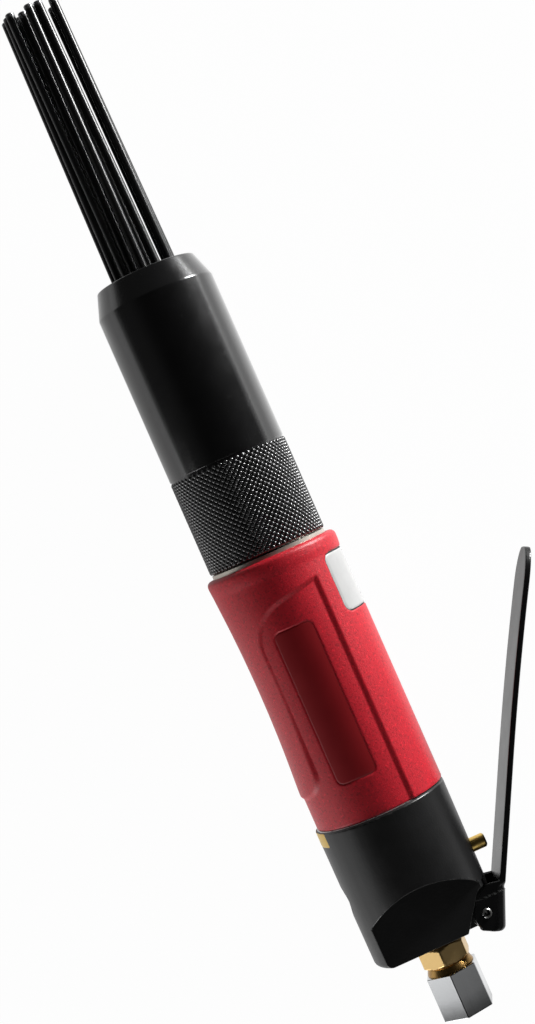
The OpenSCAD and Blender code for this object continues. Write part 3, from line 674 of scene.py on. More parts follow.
def to_mesh(bm, name, materials, crease=32.0):
    """Closes a bmesh into a smooth shaded mesh whose creases stay sharp."""
    bmesh.ops.recalc_face_normals(bm, faces=bm.faces)
    mesh = bpy.data.meshes.new(name)
    bm.to_mesh(mesh)
    bm.free()
    for material in materials:
        mesh.materials.append(material)
    mesh.shade_smooth()
    mesh.set_sharp_from_angle(angle=math.radians(crease))
    return mesh


def link(name, data):
    """Puts a mesh, a lamp or a camera in the scene as an object at the origin."""
    obj = bpy.data.objects.new(name, data)
    bpy.context.scene.collection.objects.link(obj)
    return obj


def settle(obj):
    """Turns an object's modifiers into its plain mesh."""
    graph = bpy.context.evaluated_depsgraph_get()
    plain = bpy.data.meshes.new_from_object(obj.evaluated_get(graph), depsgraph=graph)
    obj.modifiers.clear()
    obj.data = plain
    return obj


def carry(obj, body, slot, *nodes):
    """Makes a finished piece ride on a body and hides the CAD nodes it stands for. Its slot is not used."""
    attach(obj, body)
    if nodes:
        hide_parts(*nodes)
    return obj


def merged_copy(node):
    """A CAD node's shape with its doubles merged."""
    bm = bmesh.new()
    bm.from_mesh(frame["nodes"][node].data)
    bmesh.ops.remove_doubles(bm, verts=bm.verts, dist=0.002 * MM)
    return bm


def softened_copy(node, name, width, plain, worn, segments=3):
    """A CAD node's shape with its sharp edges rounded; the roundings take the worn finish."""
    bm = merged_copy(node)
    bmesh.ops.dissolve_limit(bm, angle_limit=math.radians(0.4), verts=bm.verts, edges=bm.edges)
    mesh = bpy.data.meshes.new(name)
    bm.to_mesh(mesh)
    bm.free()
    for layer in ("custom_normal", "sharp_face", "sharp_edge"):
        if layer in mesh.attributes:
            mesh.attributes.remove(mesh.attributes[layer])
    mesh.materials.clear()
    mesh.materials.append(plain)
    mesh.materials.append(worn)
    mesh.shade_smooth()
    obj = link(name, mesh)
    bevel = obj.modifiers.new("Rounded edges", "BEVEL")
    bevel.width = width
    bevel.segments = segments
    bevel.limit_method = "ANGLE"
    bevel.angle_limit = math.radians(28.0)
    bevel.use_clamp_overlap = False
    bevel.material = 1
    weighted = obj.modifiers.new("Flat faces stay flat", "WEIGHTED_NORMAL")
    weighted.keep_sharp = True
    return settle(obj)


def coil_copy(node, name):
    """A CAD spring's shape, merged and smooth shaded, riding on the tool in place of its node."""
    coil = link(name, to_mesh(merged_copy(node), name, [finish(ground_steel)], 50.0))
    carry(coil, "tool", "bright_steel", node)
    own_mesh(coil)


def repaint(material, *nodes):
    """Gives CAD nodes a finish."""
    for node in nodes:
        for place in frame["nodes"][node].material_slots:
            place.material = material


def smooth_share(value, low, high):
    """Smooth step over an array."""
    t = np.clip((value - low) / (high - low), 0.0, 1.0)
    return t * t * (3.0 - 2.0 * t)


def outline_distance(x, y, outline):
    """Signed distance of points from a closed polygon, negative inside."""
    best = np.full(x.shape, np.inf)
    inside = np.zeros(x.shape, bool)
    for (ax, ay), (bx, by) in zip(outline, outline[1:] + outline[:1]):
        ex, ey = bx - ax, by - ay
        t = np.clip(((x - ax) * ex + (y - ay) * ey) / (ex * ex + ey * ey), 0.0, 1.0)
        best = np.minimum(best, np.hypot(x - ax - t * ex, y - ay - t * ey))
        crosses = (ay > y) != (by > y)
        slope = np.where(ey == 0.0, 1.0, ey)
        inside ^= crosses & (x < ax + (y - ay) * ex / slope)
    return np.where(inside, -best, best)


def rounded_box_distance(x, y, half_x, half_y, corner):
    """Signed distance of points from a rounded rectangle about the origin."""
    dx = np.abs(x) - half_x + corner
    dy = np.abs(y) - half_y + corner
    outside = np.hypot(np.maximum(dx, 0.0), np.maximum(dy, 0.0))
    return outside + np.minimum(np.maximum(dx, dy), 0.0) - corner


def arc(centre, radius, start, end, steps=10):
    """Points on an arc, with its angles in degrees."""
    turns = [math.radians(start + (end - start) * i / steps) for i in range(steps + 1)]
    return [(centre[0] + radius * math.cos(a), centre[1] + radius * math.sin(a)) for a in turns]


def panel_outline(sizes):
    """Edge of a sunk side panel, seen along Z."""
    far = 60.0 * MM
    margin, slant = 12.3 * MM, 14.8 * MM
    wide, corner = 15.0 * MM, 8.0 * MM
    rear, front = GRIP_REAR - far, sizes.panel_front
    edge_x, end_y = -sizes.panel_back, GRIP_REAR + margin
    return ([(front, rear), (front, GRIP_FRONT - margin)]
            + arc((edge_x + wide, GRIP_FRONT - slant - wide), wide, 100.0, 180.0)
            + arc((edge_x - corner, end_y + corner), corner, 0.0, -90.0)
            + [(-far, end_y), (-far, rear)])


def grip_turns(sizes):
    """Turns at which the grip is sampled, closer together at the panels' long edges."""
    even, close, least = 280, 8, 0.0006
    turns = [2.0 * math.pi * i / even for i in range(even)]
    for x in (sizes.panel_front, -sizes.panel_back):
        edge = math.acos(x / sizes.pad)
        reach = 1.8 * sizes.edge / (sizes.pad * math.sin(edge))
        for k in range(-close, close + 1):
            off = edge + reach * k / close
            turns += [sizes.twist + off, sizes.twist - off]
    turns = np.sort(np.mod(turns, 2.0 * math.pi))
    return turns[np.diff(turns, append=2.0 * math.pi) > least]


GRIP_LIP = 1.9 * MM


def grip_stations():
    """Stations at which the grip is sampled, closer together at slanted and short edges."""
    rows = np.linspace(GRIP_REAR + 0.4 * MM, GRIP_FRONT - GRIP_LIP, 160)
    clear = 0.1 * MM
    for low, high in ((87.5, 100.0), (139.0, 159.5), (163.0, 165.0)):
        inner = np.arange(low * MM, high * MM, 0.26 * MM)
        rows = np.append(rows[(rows < inner[0] - clear) | (rows > inner[-1] + clear)], inner)
    return np.sort(rows)


def field_share(across, y, half, rear, front, corner):
    """How far points lie in a sunk field: 0 outside, 1 inside, with a soft edge."""
    soft = 0.25 * MM
    edge = rounded_box_distance(across, y - (rear + front) / 2.0, half, (front - rear) / 2.0, corner)
    return smooth_share(-edge, -soft, soft)


def grip_waist(sizes, turn, y):
    """Radius of the hollow that narrows the grip's back side."""
    shift, half = 3.0 * MM, 40.0 * MM
    middle = (GRIP_REAR + GRIP_FRONT) / 2.0 + 4.0 * MM
    sag = sizes.pad - sizes.waist + 0.2 * MM
    bow = (half * half + sag * sag) / (2.0 * sag)
    off = np.clip(y - middle, -half, half)
    hollow = sizes.waist + shift + bow - np.sqrt(bow * bow - off * off)
    return shift * np.cos(turn) + np.sqrt(hollow * hollow - (shift * np.sin(turn)) ** 2)


def grip_radius(sizes, turn, y):
    """Radius of the grip's surface at a turn about the axis and a station."""
    lip_rear, lip_top = GRIP_FRONT - 7.0 * MM, GRIP_FRONT - 3.5 * MM
    pad = sizes.pad + sizes.lip * smooth_share(y, lip_rear, lip_top)
    x, z = sizes.pad * np.cos(turn - sizes.twist), sizes.pad * np.sin(turn - sizes.twist)
    sunk = smooth_share(-outline_distance(x, y, panel_outline(sizes)), -sizes.edge, sizes.edge)
    badge = field_share(x + sizes.badge_shift, y, sizes.badge_width / 2.0, sizes.badge_rear,
                        sizes.badge_front, 2.5 * MM)
    label = field_share(z, y, sizes.label_half, sizes.label_rear, sizes.label_front, 3.0 * MM)
    radius = pad + (sizes.panel - pad) * sunk
    radius = radius - sizes.field * np.where(z > 0.0, badge, 0.0)
    radius = radius - sizes.field * np.where(x > 0.0, label, 0.0)
    waist = grip_waist(sizes, turn, y)
    soft = 0.5 * MM
    gap = np.clip((waist - radius) / (2.0 * soft) + 0.5, 0.0, 1.0)
    return waist + (radius - waist) * gap - soft * gap * (1.0 - gap)


class SCALER_OT_grip(bpy.types.Operator):
    """Moulds the red grip with its pads, panels, waist and sunk fields."""

    bl_idname = "scaler.grip"
    bl_label = "Grip"

    def execute(self, context):
        sizes = context.scene.scaler_grip
        turns, stations = grip_turns(sizes), grip_stations()
        radii = grip_radius(sizes, *np.meshgrid(turns, stations))
        loops = [(radii[0] - 0.4 * MM, GRIP_REAR), (radii[0] - 0.12 * MM, GRIP_REAR + 0.12 * MM)]
        loops += list(zip(radii, stations))
        for a in quarter(5, 1):
            loops.append((radii[-1] - GRIP_LIP * (1.0 - math.cos(a)), stations[-1] + GRIP_LIP * math.sin(a)))
        bore = np.full(len(turns), sizes.bore)
        seat = bore + 1.95 * MM
        seat_floor = GRIP_FRONT - 1.5 * MM
        loops += [(seat + 0.2 * MM, GRIP_FRONT), (seat, GRIP_FRONT - 0.2 * MM), (seat, seat_floor),
                  (bore, seat_floor), (bore, GRIP_REAR)]
        bm = bmesh.new()
        stitch(bm, [ring_at(bm, y, radius, turns) for radius, y in loops])
        grip = link("grip", to_mesh(bm, "grip", [finish(grip_red)], 40.0))
        carry(grip, "tool", "red_grip", "grip_sleeve")
        return {"FINISHED"}


def curved_plate(name, middle, half_arc, rear, front, radius, thickness, corner, material):
    """A thin plate with round corners bent about the axis; middle is its turn from +X."""
    bm = bmesh.new()
    half_y = (front - rear) / 2.0
    columns, straight, rim_width = 48, 20, 0.35 * MM
    rows = [-half_y + corner * (1.0 - math.cos(a)) for a in quarter(6)]
    ends = [-v for v in reversed(rows)]
    rows += [-half_y + corner + (half_y - corner) * 2.0 * k / straight for k in range(1, straight)]
    outer, inner = [], []
    for y in rows + ends:
        into = max(0.0, abs(y) - half_y + corner)
        half = half_arc - corner + math.sqrt(max(0.0, corner * corner - into * into))
        outer_row, inner_row = [], []
        for c in range(columns + 1):
            s = half * (2.0 * c / columns - 1.0)
            edge = rounded_box_distance(np.array(s), np.array(y), half_arc, half_y, corner)
            rim = thickness * 0.5 * (1.0 - float(smooth_share(-edge, 0.0, rim_width)))
            a = middle + s / radius
            across = Vector((math.cos(a), 0.0, math.sin(a)))
            place = Vector((0.0, (rear + front) / 2.0 + y, 0.0))
            outer_row.append(bm.verts.new(place + across * (radius + thickness - rim)))
            inner_row.append(bm.verts.new(place + across * radius))
        outer.append(outer_row)
        inner.append(inner_row)
    for near, far, in_near, in_far in zip(outer, outer[1:], inner, inner[1:]):
        for c in range(columns):
            bm.faces.new((near[c], near[c + 1], far[c + 1], far[c]))
            bm.faces.new((in_near[c], in_far[c], in_far[c + 1], in_near[c + 1]))
        for c in (0, columns):
            bm.faces.new((near[c], far[c], in_far[c], in_near[c]))
    for row, in_row in ((outer[0], inner[0]), (outer[-1], inner[-1])):
        for c in range(columns):
            bm.faces.new((row[c], row[c + 1], in_row[c + 1], in_row[c]))
    bmesh.ops.remove_doubles(bm, verts=bm.verts, dist=0.001 * MM)
    return link(name, to_mesh(bm, name, [material], 50.0))


class SCALER_OT_plates(bpy.types.Operator):
    """Lays the bare badge plate, the blank label with a dark plate under it as painted shadow in its gap,
    and the plain patch in their places.
    """

    bl_idname = "scaler.plates"
    bl_label = "Bare plates"

    def execute(self, context):
        sizes = context.scene.scaler_grip
        bedded, film = 0.05 * MM, 0.30 * MM
        gap, border = 0.25 * MM, 0.65 * MM
        floor = sizes.panel - sizes.field
        turn = math.pi / 2.0 + math.asin(sizes.badge_shift / floor) + sizes.twist
        half = floor * math.asin(sizes.badge_width / 2.0 / floor) - gap
        badge = curved_plate("badge_plate", turn, half, sizes.badge_rear + gap, sizes.badge_front - gap,
                             floor - bedded, film, 2.3 * MM, finish(badge_red))
        carry(badge, "tool", "red_grip")

        floor = sizes.pad - sizes.field
        half = floor * math.asin(sizes.label_half / floor) - border
        label = curved_plate("label_plate", sizes.twist, half, sizes.label_rear + border,
                             sizes.label_front - border, floor - bedded, 0.38 * MM, 2.5 * MM,
                             finish(label_white))
        carry(label, "tool", "pale_ring")
        # Painted shadow: a dark plate a border wider than the label lies under it, so a dark line shows in
        # the gap round the label where its shadow falls.
        gap_shadow = curved_plate("label_backing", sizes.twist, half + border, sizes.label_rear,
                               sizes.label_front, floor - 0.15 * MM, film, 3.0 * MM, finish(seal_rubber))
        carry(gap_shadow, "tool", "seal_rubber")

        patch_rear, patch_front, patch_floor = 71.9 * MM, 77.0 * MM, 23.60 * MM
        patch = curved_plate("gold_patch", math.radians(176.0), 8.6 * MM, patch_rear, patch_front,
                             patch_floor, 0.14 * MM, 0.6 * MM, finish(patch_gold))
        carry(patch, "tool", "black_casting")
        return {"FINISHED"}


class SCALER_OT_nozzle(bpy.types.Operator):
    """Turns the front tube with its nose, mouth and bore."""

    bl_idname = "scaler.nozzle"
    bl_label = "Front tube"

    def execute(self, context):
        sizes = context.scene.scaler_nozzle
        knurl_end = NOZZLE_REAR + sizes.knurl_length
        nose_rear = NOZZLE_FRONT - sizes.nose_length
        mouth_rear, thread_front = NOZZLE_FRONT - 10.0 * MM, NOZZLE_REAR + 16.8 * MM
        bore, thread = 17.5 * MM, 18.85 * MM

        def chamfer_point(share):
            back = sizes.nose_length * (1.0 - share)
            return sizes.tube + (sizes.nose - sizes.tube) * share, NOZZLE_FRONT - back

        outline = rounded_outline([
            (thread, NOZZLE_REAR, 0.2 * MM),
            (sizes.tube - 1.0 * MM, NOZZLE_REAR, 0.3 * MM),
            (sizes.knurl_floor, NOZZLE_REAR + 1.0 * MM, 0.3 * MM),
            (sizes.knurl_floor, knurl_end, 0.0),
            (sizes.tube, knurl_end, 0.12 * MM),
            (sizes.tube, nose_rear - 1.0 * MM, 0.0),
            (sizes.tube, nose_rear, 1.2 * MM),
            (*chamfer_point(0.08), 0.0),
            (*chamfer_point(0.92), 0.0),
            (sizes.nose, NOZZLE_FRONT, 0.5 * MM),
            (sizes.mouth, NOZZLE_FRONT, 0.5 * MM),
            (sizes.mouth, mouth_rear, 0.0),
            (bore, mouth_rear, 0.0),
            (bore, thread_front, 0.0),
            (thread, thread_front, 0.0),
        ])
        tube = link("front_tube", to_mesh(turned(outline, 160), "front_tube", [finish(tube_black)], 35.0))
        carry(tube, "tool", "black_tube", "nozzle")
        return {"FINISHED"}


class Tree(Nodes):
    """Builds one Geometry Nodes tree."""

    def __init__(self, name):
        super().__init__(bpy.data.node_groups.new(name, "GeometryNodeTree"))
        self.entry = self.tree.nodes.new("NodeGroupInput")
        self.tree.interface.new_socket("Geometry", in_out="OUTPUT", socket_type="NodeSocketGeometry")

    def size(self, label, kind="NodeSocketFloat"):
        """Adds a named input."""
        self.tree.interface.new_socket(label, in_out="INPUT", socket_type=kind)
        return Wire(self, self.entry.outputs[label])

    def close(self, geometry, material):
        """Realises the instances, sets the material and ends the tree."""
        real = self.node("GeometryNodeRealizeInstances", None, {0: geometry})
        painted = self.node("GeometryNodeSetMaterial", None, {0: real, 2: material})
        self.node("NodeGroupOutput", None, {0: painted})

    def grow(self, name, values):
        """Runs the tree with its named inputs on a new object and keeps the plain mesh."""
        obj = link(name, bpy.data.meshes.new(name))
        modifier = obj.modifiers.new("Grown", "NODES")
        modifier.node_group = self.tree
        for item in self.tree.interface.items_tree:
            if item.in_out == "INPUT":
                modifier[item.identifier] = values[item.name]
        return settle(obj)


def stud_mesh():
    """A knurl stud of unit size: a four-sided pyramid with a rounded tip."""
    bm = bmesh.new()
    sides = 8
    rings = []
    for reach, roundness, z in ((1.0, 0.0, 0.0), (0.80, 0.15, 0.42), (0.58, 0.40, 0.74), (0.34, 0.70, 0.93)):
        ring = []
        for k in range(sides):
            a = 2.0 * math.pi * k / sides
            square = 1.0 / (abs(math.cos(a)) + abs(math.sin(a)))
            r = reach * (square + (1.0 - square) * roundness)
            ring.append(bm.verts.new((r * math.cos(a), r * math.sin(a), z)))
        rings.append(ring)
    stitch(bm, rings, False)
    bm.faces.new(rings[0])
    tip = bm.verts.new((0.0, 0.0, 1.0))
    for k in range(sides):
        bm.faces.new((rings[-1][k], rings[-1][(k + 1) % sides], tip))
    return to_mesh(bm, "stud", [finish(knurl_black)], 75.0)


class SCALER_OT_knurl(bpy.types.Operator):
    """Cuts the knurled band as rows of small round-tipped pyramids round the tube."""

    bl_idname = "scaler.knurl"
    bl_label = "Knurl"

    def execute(self, context):
        sizes = context.scene.scaler_nozzle
        tree = Tree("Knurl studs")
        around = tree.size("Around", "NodeSocketInt")
        rows = tree.size("Rows", "NodeSocketInt")
        radius = tree.size("Radius")
        start = tree.size("Start")
        pitch = tree.size("Row pitch")
        width = tree.size("Stud width")
        tall = tree.size("Stud height")
        index = tree.node("GeometryNodeInputIndex")
        row = tree.math("FLOOR", (index + 0.5) / around)
        odd = tree.math("FLOORED_MODULO", row, 2.0)
        turn = (index + odd * 0.5) / around * (2.0 * math.pi)
        place = tree.node("ShaderNodeCombineXYZ", None, {
            0: radius * tree.math("COSINE", turn),
            1: start + row * pitch,
            2: radius * tree.math("SINE", turn)})
        points = tree.node("GeometryNodePoints", None, {0: around * rows, 1: place})
        pattern_input = tree.size("Stud", "NodeSocketObject")
        stud = tree.node("GeometryNodeObjectInfo", None, {0: pattern_input}, "Geometry")
        euler = tree.node("ShaderNodeCombineXYZ", None, {1: math.pi / 2.0 - turn})
        spin = tree.node("FunctionNodeEulerToRotation", None, {0: euler})
        scale = tree.node("ShaderNodeCombineXYZ", None, {0: width * 0.5, 1: pitch, 2: tall})
        studs = tree.node("GeometryNodeInstanceOnPoints", None, {
            "Points": points, "Instance": stud, "Rotation": spin, "Scale": scale})
        tree.close(studs, finish(knurl_black))

        sunk, rear_gap, end_gaps = 0.06 * MM, 1.3 * MM, 2.2 * MM
        pattern = link("stud", stud_mesh())
        knurl = tree.grow("knurl", {
            "Stud": pattern,
            "Around": sizes.around,
            "Rows": int((sizes.knurl_length - end_gaps) / sizes.row_pitch) + 1,
            "Radius": sizes.knurl_floor - sunk,
            "Start": NOZZLE_REAR + rear_gap,
            "Row pitch": sizes.row_pitch,
            "Stud height": sizes.stud_height + sunk,
            "Stud width": 2.0 * math.pi * sizes.tube / sizes.around})
        bpy.data.objects.remove(pattern)
        carry(knurl, "tool", "black_tube")
        return {"FINISHED"}


class SCALER_OT_housing(bpy.types.Operator):
    """Finishes the rear housing, the plug of its cross bore and the pale ring."""

    bl_idname = "scaler.housing"
    bl_label = "Rear housing"

    def execute(self, context):
        plain, worn, bare = 0, 1, 2
        rim_rear, lug_side, lug_front = GRIP_REAR - 0.7 * MM, 14.5 * MM, 36.0 * MM
        housing = softened_copy("rear_housing", "housing", 0.30 * MM, finish(housing_black),
                                finish(worn_black))
        housing.data.materials.append(finish(worn_rim))
        for face in housing.data.polygons:
            if face.material_index == worn and face.center.y > rim_rear:
                face.material_index = bare
            elif face.center.x > lug_side and face.center.y < lug_front:
                face.material_index = plain
        carry(housing, "tool", "black_casting", "rear_housing")
        repaint(finish(pale_ring), "lock_ring")
        repaint(finish(blued_steel), "throttle_plug")
        return {"FINISHED"}


LEVER_FOLD = 2.4 * MM


def lever_faces(sizes, along):
    """Inner and outer face of the lever at a station along it."""
    past = max(0.0, along - sizes.straight)
    bow = (sizes.reach - sizes.straight) / sizes.flare
    inner = sizes.offset + past * past / (2.0 * bow)
    short = max(0.0, LEVER_FOLD - sizes.heel - along)
    return inner, inner + sizes.sheet - LEVER_FOLD + math.sqrt(LEVER_FOLD * LEVER_FOLD - short * short)


def ear_front(sizes, along, inner):
    """Front edge of the lever's ears at a station along it; past the ears it is the inner face."""
    stations = [-6.2, -5.7, -4.9, -4.0, -1.8, 0.4, 3.4, 6.2, 9.6, sizes.ears / MM]
    fronts = [-1.2, -1.8, -2.1, -3.6, -5.3, -5.6, -5.3, -3.0, -0.9, inner / MM]
    return min(inner, MM * float(np.interp(along / MM, stations, fronts)))


def lever_ring(sizes, along, trim):
    """Points round the lever at a station: out of its face, across it, and which way they face."""
    inner, back = lever_faces(sizes, along)
    front = ear_front(sizes, along, inner) + trim
    inner, back = inner + trim, back - trim
    into = max(0.0, along - sizes.reach + sizes.tip)
    blunt, tight = 1.4 * MM, 0.5 * MM
    half = blunt - trim + (sizes.half - blunt) * math.sqrt(max(0.0, 1.0 - (into / sizes.tip) ** 2))
    hollow = max(half - sizes.sheet, 0.3 * half)
    bend = LEVER_FOLD + (tight - LEVER_FOLD) * float(smooth_share(along, sizes.ears - 2.0 * MM, sizes.ears))
    bend = min(bend, back - inner - 0.4 * MM) if along > sizes.ears else bend
    rim = min(0.35 * MM, 0.25 * (back - inner))
    side = [(front + rim * (1.0 - math.cos(a)), half - rim * (1.0 - math.sin(a)), None) for a in quarter(4)]
    side += [(front + rim + (back - bend - front - rim) * k / 12.0, half, 0.0) for k in range(1, 12)]
    for a in quarter(6):
        side.append((back - bend * (1.0 - math.sin(a)), half - bend * (1.0 - math.cos(a)), math.sin(a)))
    middle = [(back, (half - bend) * (1.0 - k / 4.0), 1.0) for k in range(1, 8)]
    slant = 0.9 * MM * min(1.0, (inner - front) / (1.2 * MM))
    under = [(front + 0.85 * slant, hollow + 0.15 * slant, None), (front + slant, hollow, None)]
    under += [(inner, hollow * (1.0 - k / 3.0), None) for k in range(7)]
    under += [(front + slant, -hollow, None), (front + 0.85 * slant, -hollow - 0.15 * slant, None)]
    mirrored = [(out, -across, facing) for out, across, facing in reversed(side)]
    return side + middle + mirrored + list(reversed(under))


def saddle_rise(sizes, out, along, facing, across):
    """How far the saddle and its weld bead stand out at a point of the lever's outer side."""
    weld_start, slope, taper = 5.2 * MM, 0.527, 0.085
    ear_edge, back_edge = -0.95 * MM, 5.4 * MM
    soft, bead_width = 0.14 * MM, 0.26 * MM
    line = weld_start + slope * (min(out, back_edge) - ear_edge)
    line += 0.12 * MM * math.sin(out * 4100.0) + 0.10 * MM * math.sin(out * 9300.0 + across * 2700.0)
    share = float(smooth_share(line - along, -soft, soft))
    flat = sizes.saddle * (1.0 - facing) + (sizes.saddle_back - taper * along) * facing
    ripple = 0.6 + 0.4 * math.sin(out * 6100.0 + across * 5300.0)
    return share * flat + sizes.bead * ripple * math.exp(-((along - line) / bead_width) ** 2)


def lever_stations(sizes):
    """Stations along the lever with the trim of its edges there, closest together at the weld bead."""
    rim = 0.3 * MM
    heel_end, tip_start = 0.4 * MM - sizes.heel - rim, sizes.reach - sizes.tip
    stations = [(heel_end, rim), (heel_end + rim / 2.0, rim / 2.0)]
    for first, last, pitch in ((-5.8, 2.5, 0.4), (2.5, 12.0, 0.14), (12.0, 112.0, 2.0)):
        stations += [(along * MM, 0.0) for along in np.arange(first, last, pitch)]
    stations += [(tip_start + (sizes.tip - rim) * math.sin(a), 0.0) for a in quarter(12)]
    return stations + [(sizes.reach - 0.1 * MM, rim / 2.0), (sizes.reach, rim)]


def lever_sheet(sizes):
    """The lever's pressed sheet with its ears, saddle and weld bead."""
    bm = bmesh.new()
    ahead, aside = math.cos(sizes.lean), math.sin(sizes.lean)
    rings = []
    for along, trim in lever_stations(sizes):
        ring = []
        for out, across, facing in lever_ring(sizes, along, trim):
            if facing is not None and along < sizes.ears:
                rise = saddle_rise(sizes, out, along, facing, across)
                out += rise * facing
                across += math.copysign(rise * math.sqrt(1.0 - facing * facing), across)
            place = Vector((out * ahead + along * aside, along * ahead - out * aside, across))
            ring.append(bm.verts.new(PIN + place))
        rings.append(ring)
    stitch(bm, rings, False)
    for ring in (rings[0], rings[-1]):
        bm.faces.new(ring)
    bmesh.ops.remove_doubles(bm, verts=bm.verts, dist=0.004 * MM)
    return link("throttle_lever", to_mesh(bm, "throttle_lever", [finish(lever_black)], 35.0))


def bore_ears(lever):
    """Bores the lever's ears for its pin."""
    bm = bmesh.new()
    radius = PIN_RADIUS + 0.05 * MM
    bmesh.ops.create_cone(bm, cap_ends=True, segments=48, depth=4.0 * PIN_HALF, radius1=radius,
                          radius2=radius, matrix=Matrix.Translation(PIN))
    cutter = link("pin_bore", to_mesh(bm, "pin_bore", [finish(lever_black)]))
    cut = lever.modifiers.new("Pin bore", "BOOLEAN")
    cut.operation = "DIFFERENCE"
    cut.solver = "EXACT"
    cut.object = cutter
    settle(lever)
    bpy.data.objects.remove(cutter)
    lever.data.set_sharp_from_angle(angle=math.radians(35.0))


def paint_lever(sizes, lever):
    """Gives the cut edges by the ears their painted shade, and the inner face its own finish."""
    glossy, matt, inner = 0, 1, 2
    lever.data.materials.append(finish(lever_matt))
    lever.data.materials.append(finish(lever_inner))
    ahead = Vector((math.sin(sizes.lean), math.cos(sizes.lean), 0.0))
    outward = Vector((math.cos(sizes.lean), -math.sin(sizes.lean), 0.0))
    for face in lever.data.polygons:
        along, out = (face.center - PIN).dot(ahead), (face.center - PIN).dot(outward)
        by_ears = 4.0 * MM < along < 12.5 * MM and out < sizes.offset + 0.3 * MM
        # Painted shade: faces by the ears that face ahead take the darker matt black.
        face.material_index = matt if by_ears and face.normal.dot(ahead) > 0.3 else glossy
        past_ears = along > 11.0 * MM
        if past_ears and face.normal.dot(outward) < -0.97:
            face.material_index = inner


def spring_pin():
    """The rolled spring pin, open along one side and trimmed at its ends."""
    outer, inner = PIN_RADIUS, PIN_RADIUS - 0.82 * MM
    half, trim = PIN_HALF + 0.5 * MM, 0.34 * MM
    gap, steps = math.radians(26.0), 40
    start = math.radians(200.0) + gap / 2.0
    turns = [start + (2.0 * math.pi - gap) * i / steps for i in range(steps + 1)]
    bm = bmesh.new()
    rings = []
    for z, less in ((-half, trim), (trim - half, 0.0), (half - trim, 0.0), (half, trim)):
        rim = [(outer - less, a) for a in turns] + [(inner + 0.4 * less, a) for a in reversed(turns)]
        rings.append([bm.verts.new(PIN + Vector((r * math.cos(a), r * math.sin(a), z))) for r, a in rim])
    stitch(bm, rings, False)
    last = len(rings[0]) - 1
    for ring in (rings[0], rings[-1]):
        for i in range(steps):
            bm.faces.new((ring[i], ring[i + 1], ring[last - 1 - i], ring[last - i]))
    return link("spring_pin", to_mesh(bm, "spring_pin", [finish(pin_steel)], 35.0))


class SCALER_OT_lever(bpy.types.Operator):
    """Forms the throttle lever with its saddle, bores its ears and rolls its spring pin."""

    bl_idname = "scaler.lever"
    bl_label = "Lever"

    def execute(self, context):
        sizes = context.scene.scaler_lever
        lever = lever_sheet(sizes)
        bore_ears(lever)
        paint_lever(sizes, lever)
        carry(lever, "lever", "black_sheet", "lever")
        carry(spring_pin(), "tool", "blued_steel", "lever_pin")
        return {"FINISHED"}


def hexagon_turned(name, rings, across_flats, first_corner, material):
    """Turns a closed outline about the axis. A ring is a radius and a station in millimetres, and
    with a third number, a trim, it follows the hexagon's flats, less the trim, up to the radius."""
    offsets = [-30.0, -29.0, -27.6, -24.0, -16.0, -6.0, 6.0, 16.0, 24.0, 27.6, 29.0]
    turns = [first_corner + math.radians(60.0 * face + 30.0 + off) for face in range(6) for off in offsets]
    flats = [across_flats / 2.0 / math.cos(math.radians(off)) for off in offsets] * 6
    blunt = across_flats / math.sqrt(3.0) - 0.10 * MM
    bm = bmesh.new()
    loops = []
    for radius, y, *trim in rings:
        radii = [radius * MM] * len(turns)
        if trim:
            less = trim[0] * MM
            radii = [min(radius * MM, blunt - less, flat - less) for flat in flats]
        loops.append(ring_at(bm, y * MM, radii, turns))
    stitch(bm, loops)
    return link(name, to_mesh(bm, name, [material], 26.0))


def inlet_fitting():
    """The plated fitting: a hexagon with a bore and a tail in the bush."""
    wide = 30.0
    rings = [(3.5, 26.0), (3.5, 14.25), (6.25, 11.5), (6.25, 0.7), (6.85, 0.1), (7.0, 0.0),
             (wide, 0.0, 0.16), (wide, 0.05, 0.05), (wide, 0.16, 0.0), (wide, 0.4, 0.0),
             (wide, 15.26, 0.0), (wide, 15.5, 0.0), (wide, 15.64, 0.05), (wide, 15.7, 0.2),
             (8.3, 15.75), (5.0, 15.75), (5.0, 26.0)]
    return hexagon_turned("fitting", rings, 17.46 * MM, math.radians(-20.0), finish(zinc_plate))


def brass_bush():
    """The brass bush: a collar, a hexagon with rounded corners and a tail in the housing."""
    rear, front = 18.4, 25.0
    chamfer = [(7.9 + 1.34 * k / 10.0, 0.09 * k) for k in range(11)]
    rings = [(3.5, 35.8), (3.5, 26.2), (5.05, 26.2), (5.05, 15.8), (8.3, 15.8), (8.45, 15.95),
             (7.7, 17.9), (7.55, 18.1), (7.3, 18.2), (7.3, rear)]
    rings += [(r, rear + rise, 0.0) for r, rise in chamfer]
    rings += [(r, front - rise, 0.0) for r, rise in reversed(chamfer)]
    rings += [(6.95, front), (6.95, 37.5), (5.0, 37.5), (5.0, 35.8)]
    bush = hexagon_turned("brass_bush", rings, 16.0 * MM, math.radians(-18.0), finish(brass))
    bush.data.materials.append(finish(dull_brass))
    # Painted shade: the faces behind the hexagon, on the collar, take the darker brass.
    for face in bush.data.polygons:
        face.material_index = int(face.center.y < (rear - 0.1) * MM)
    return bush


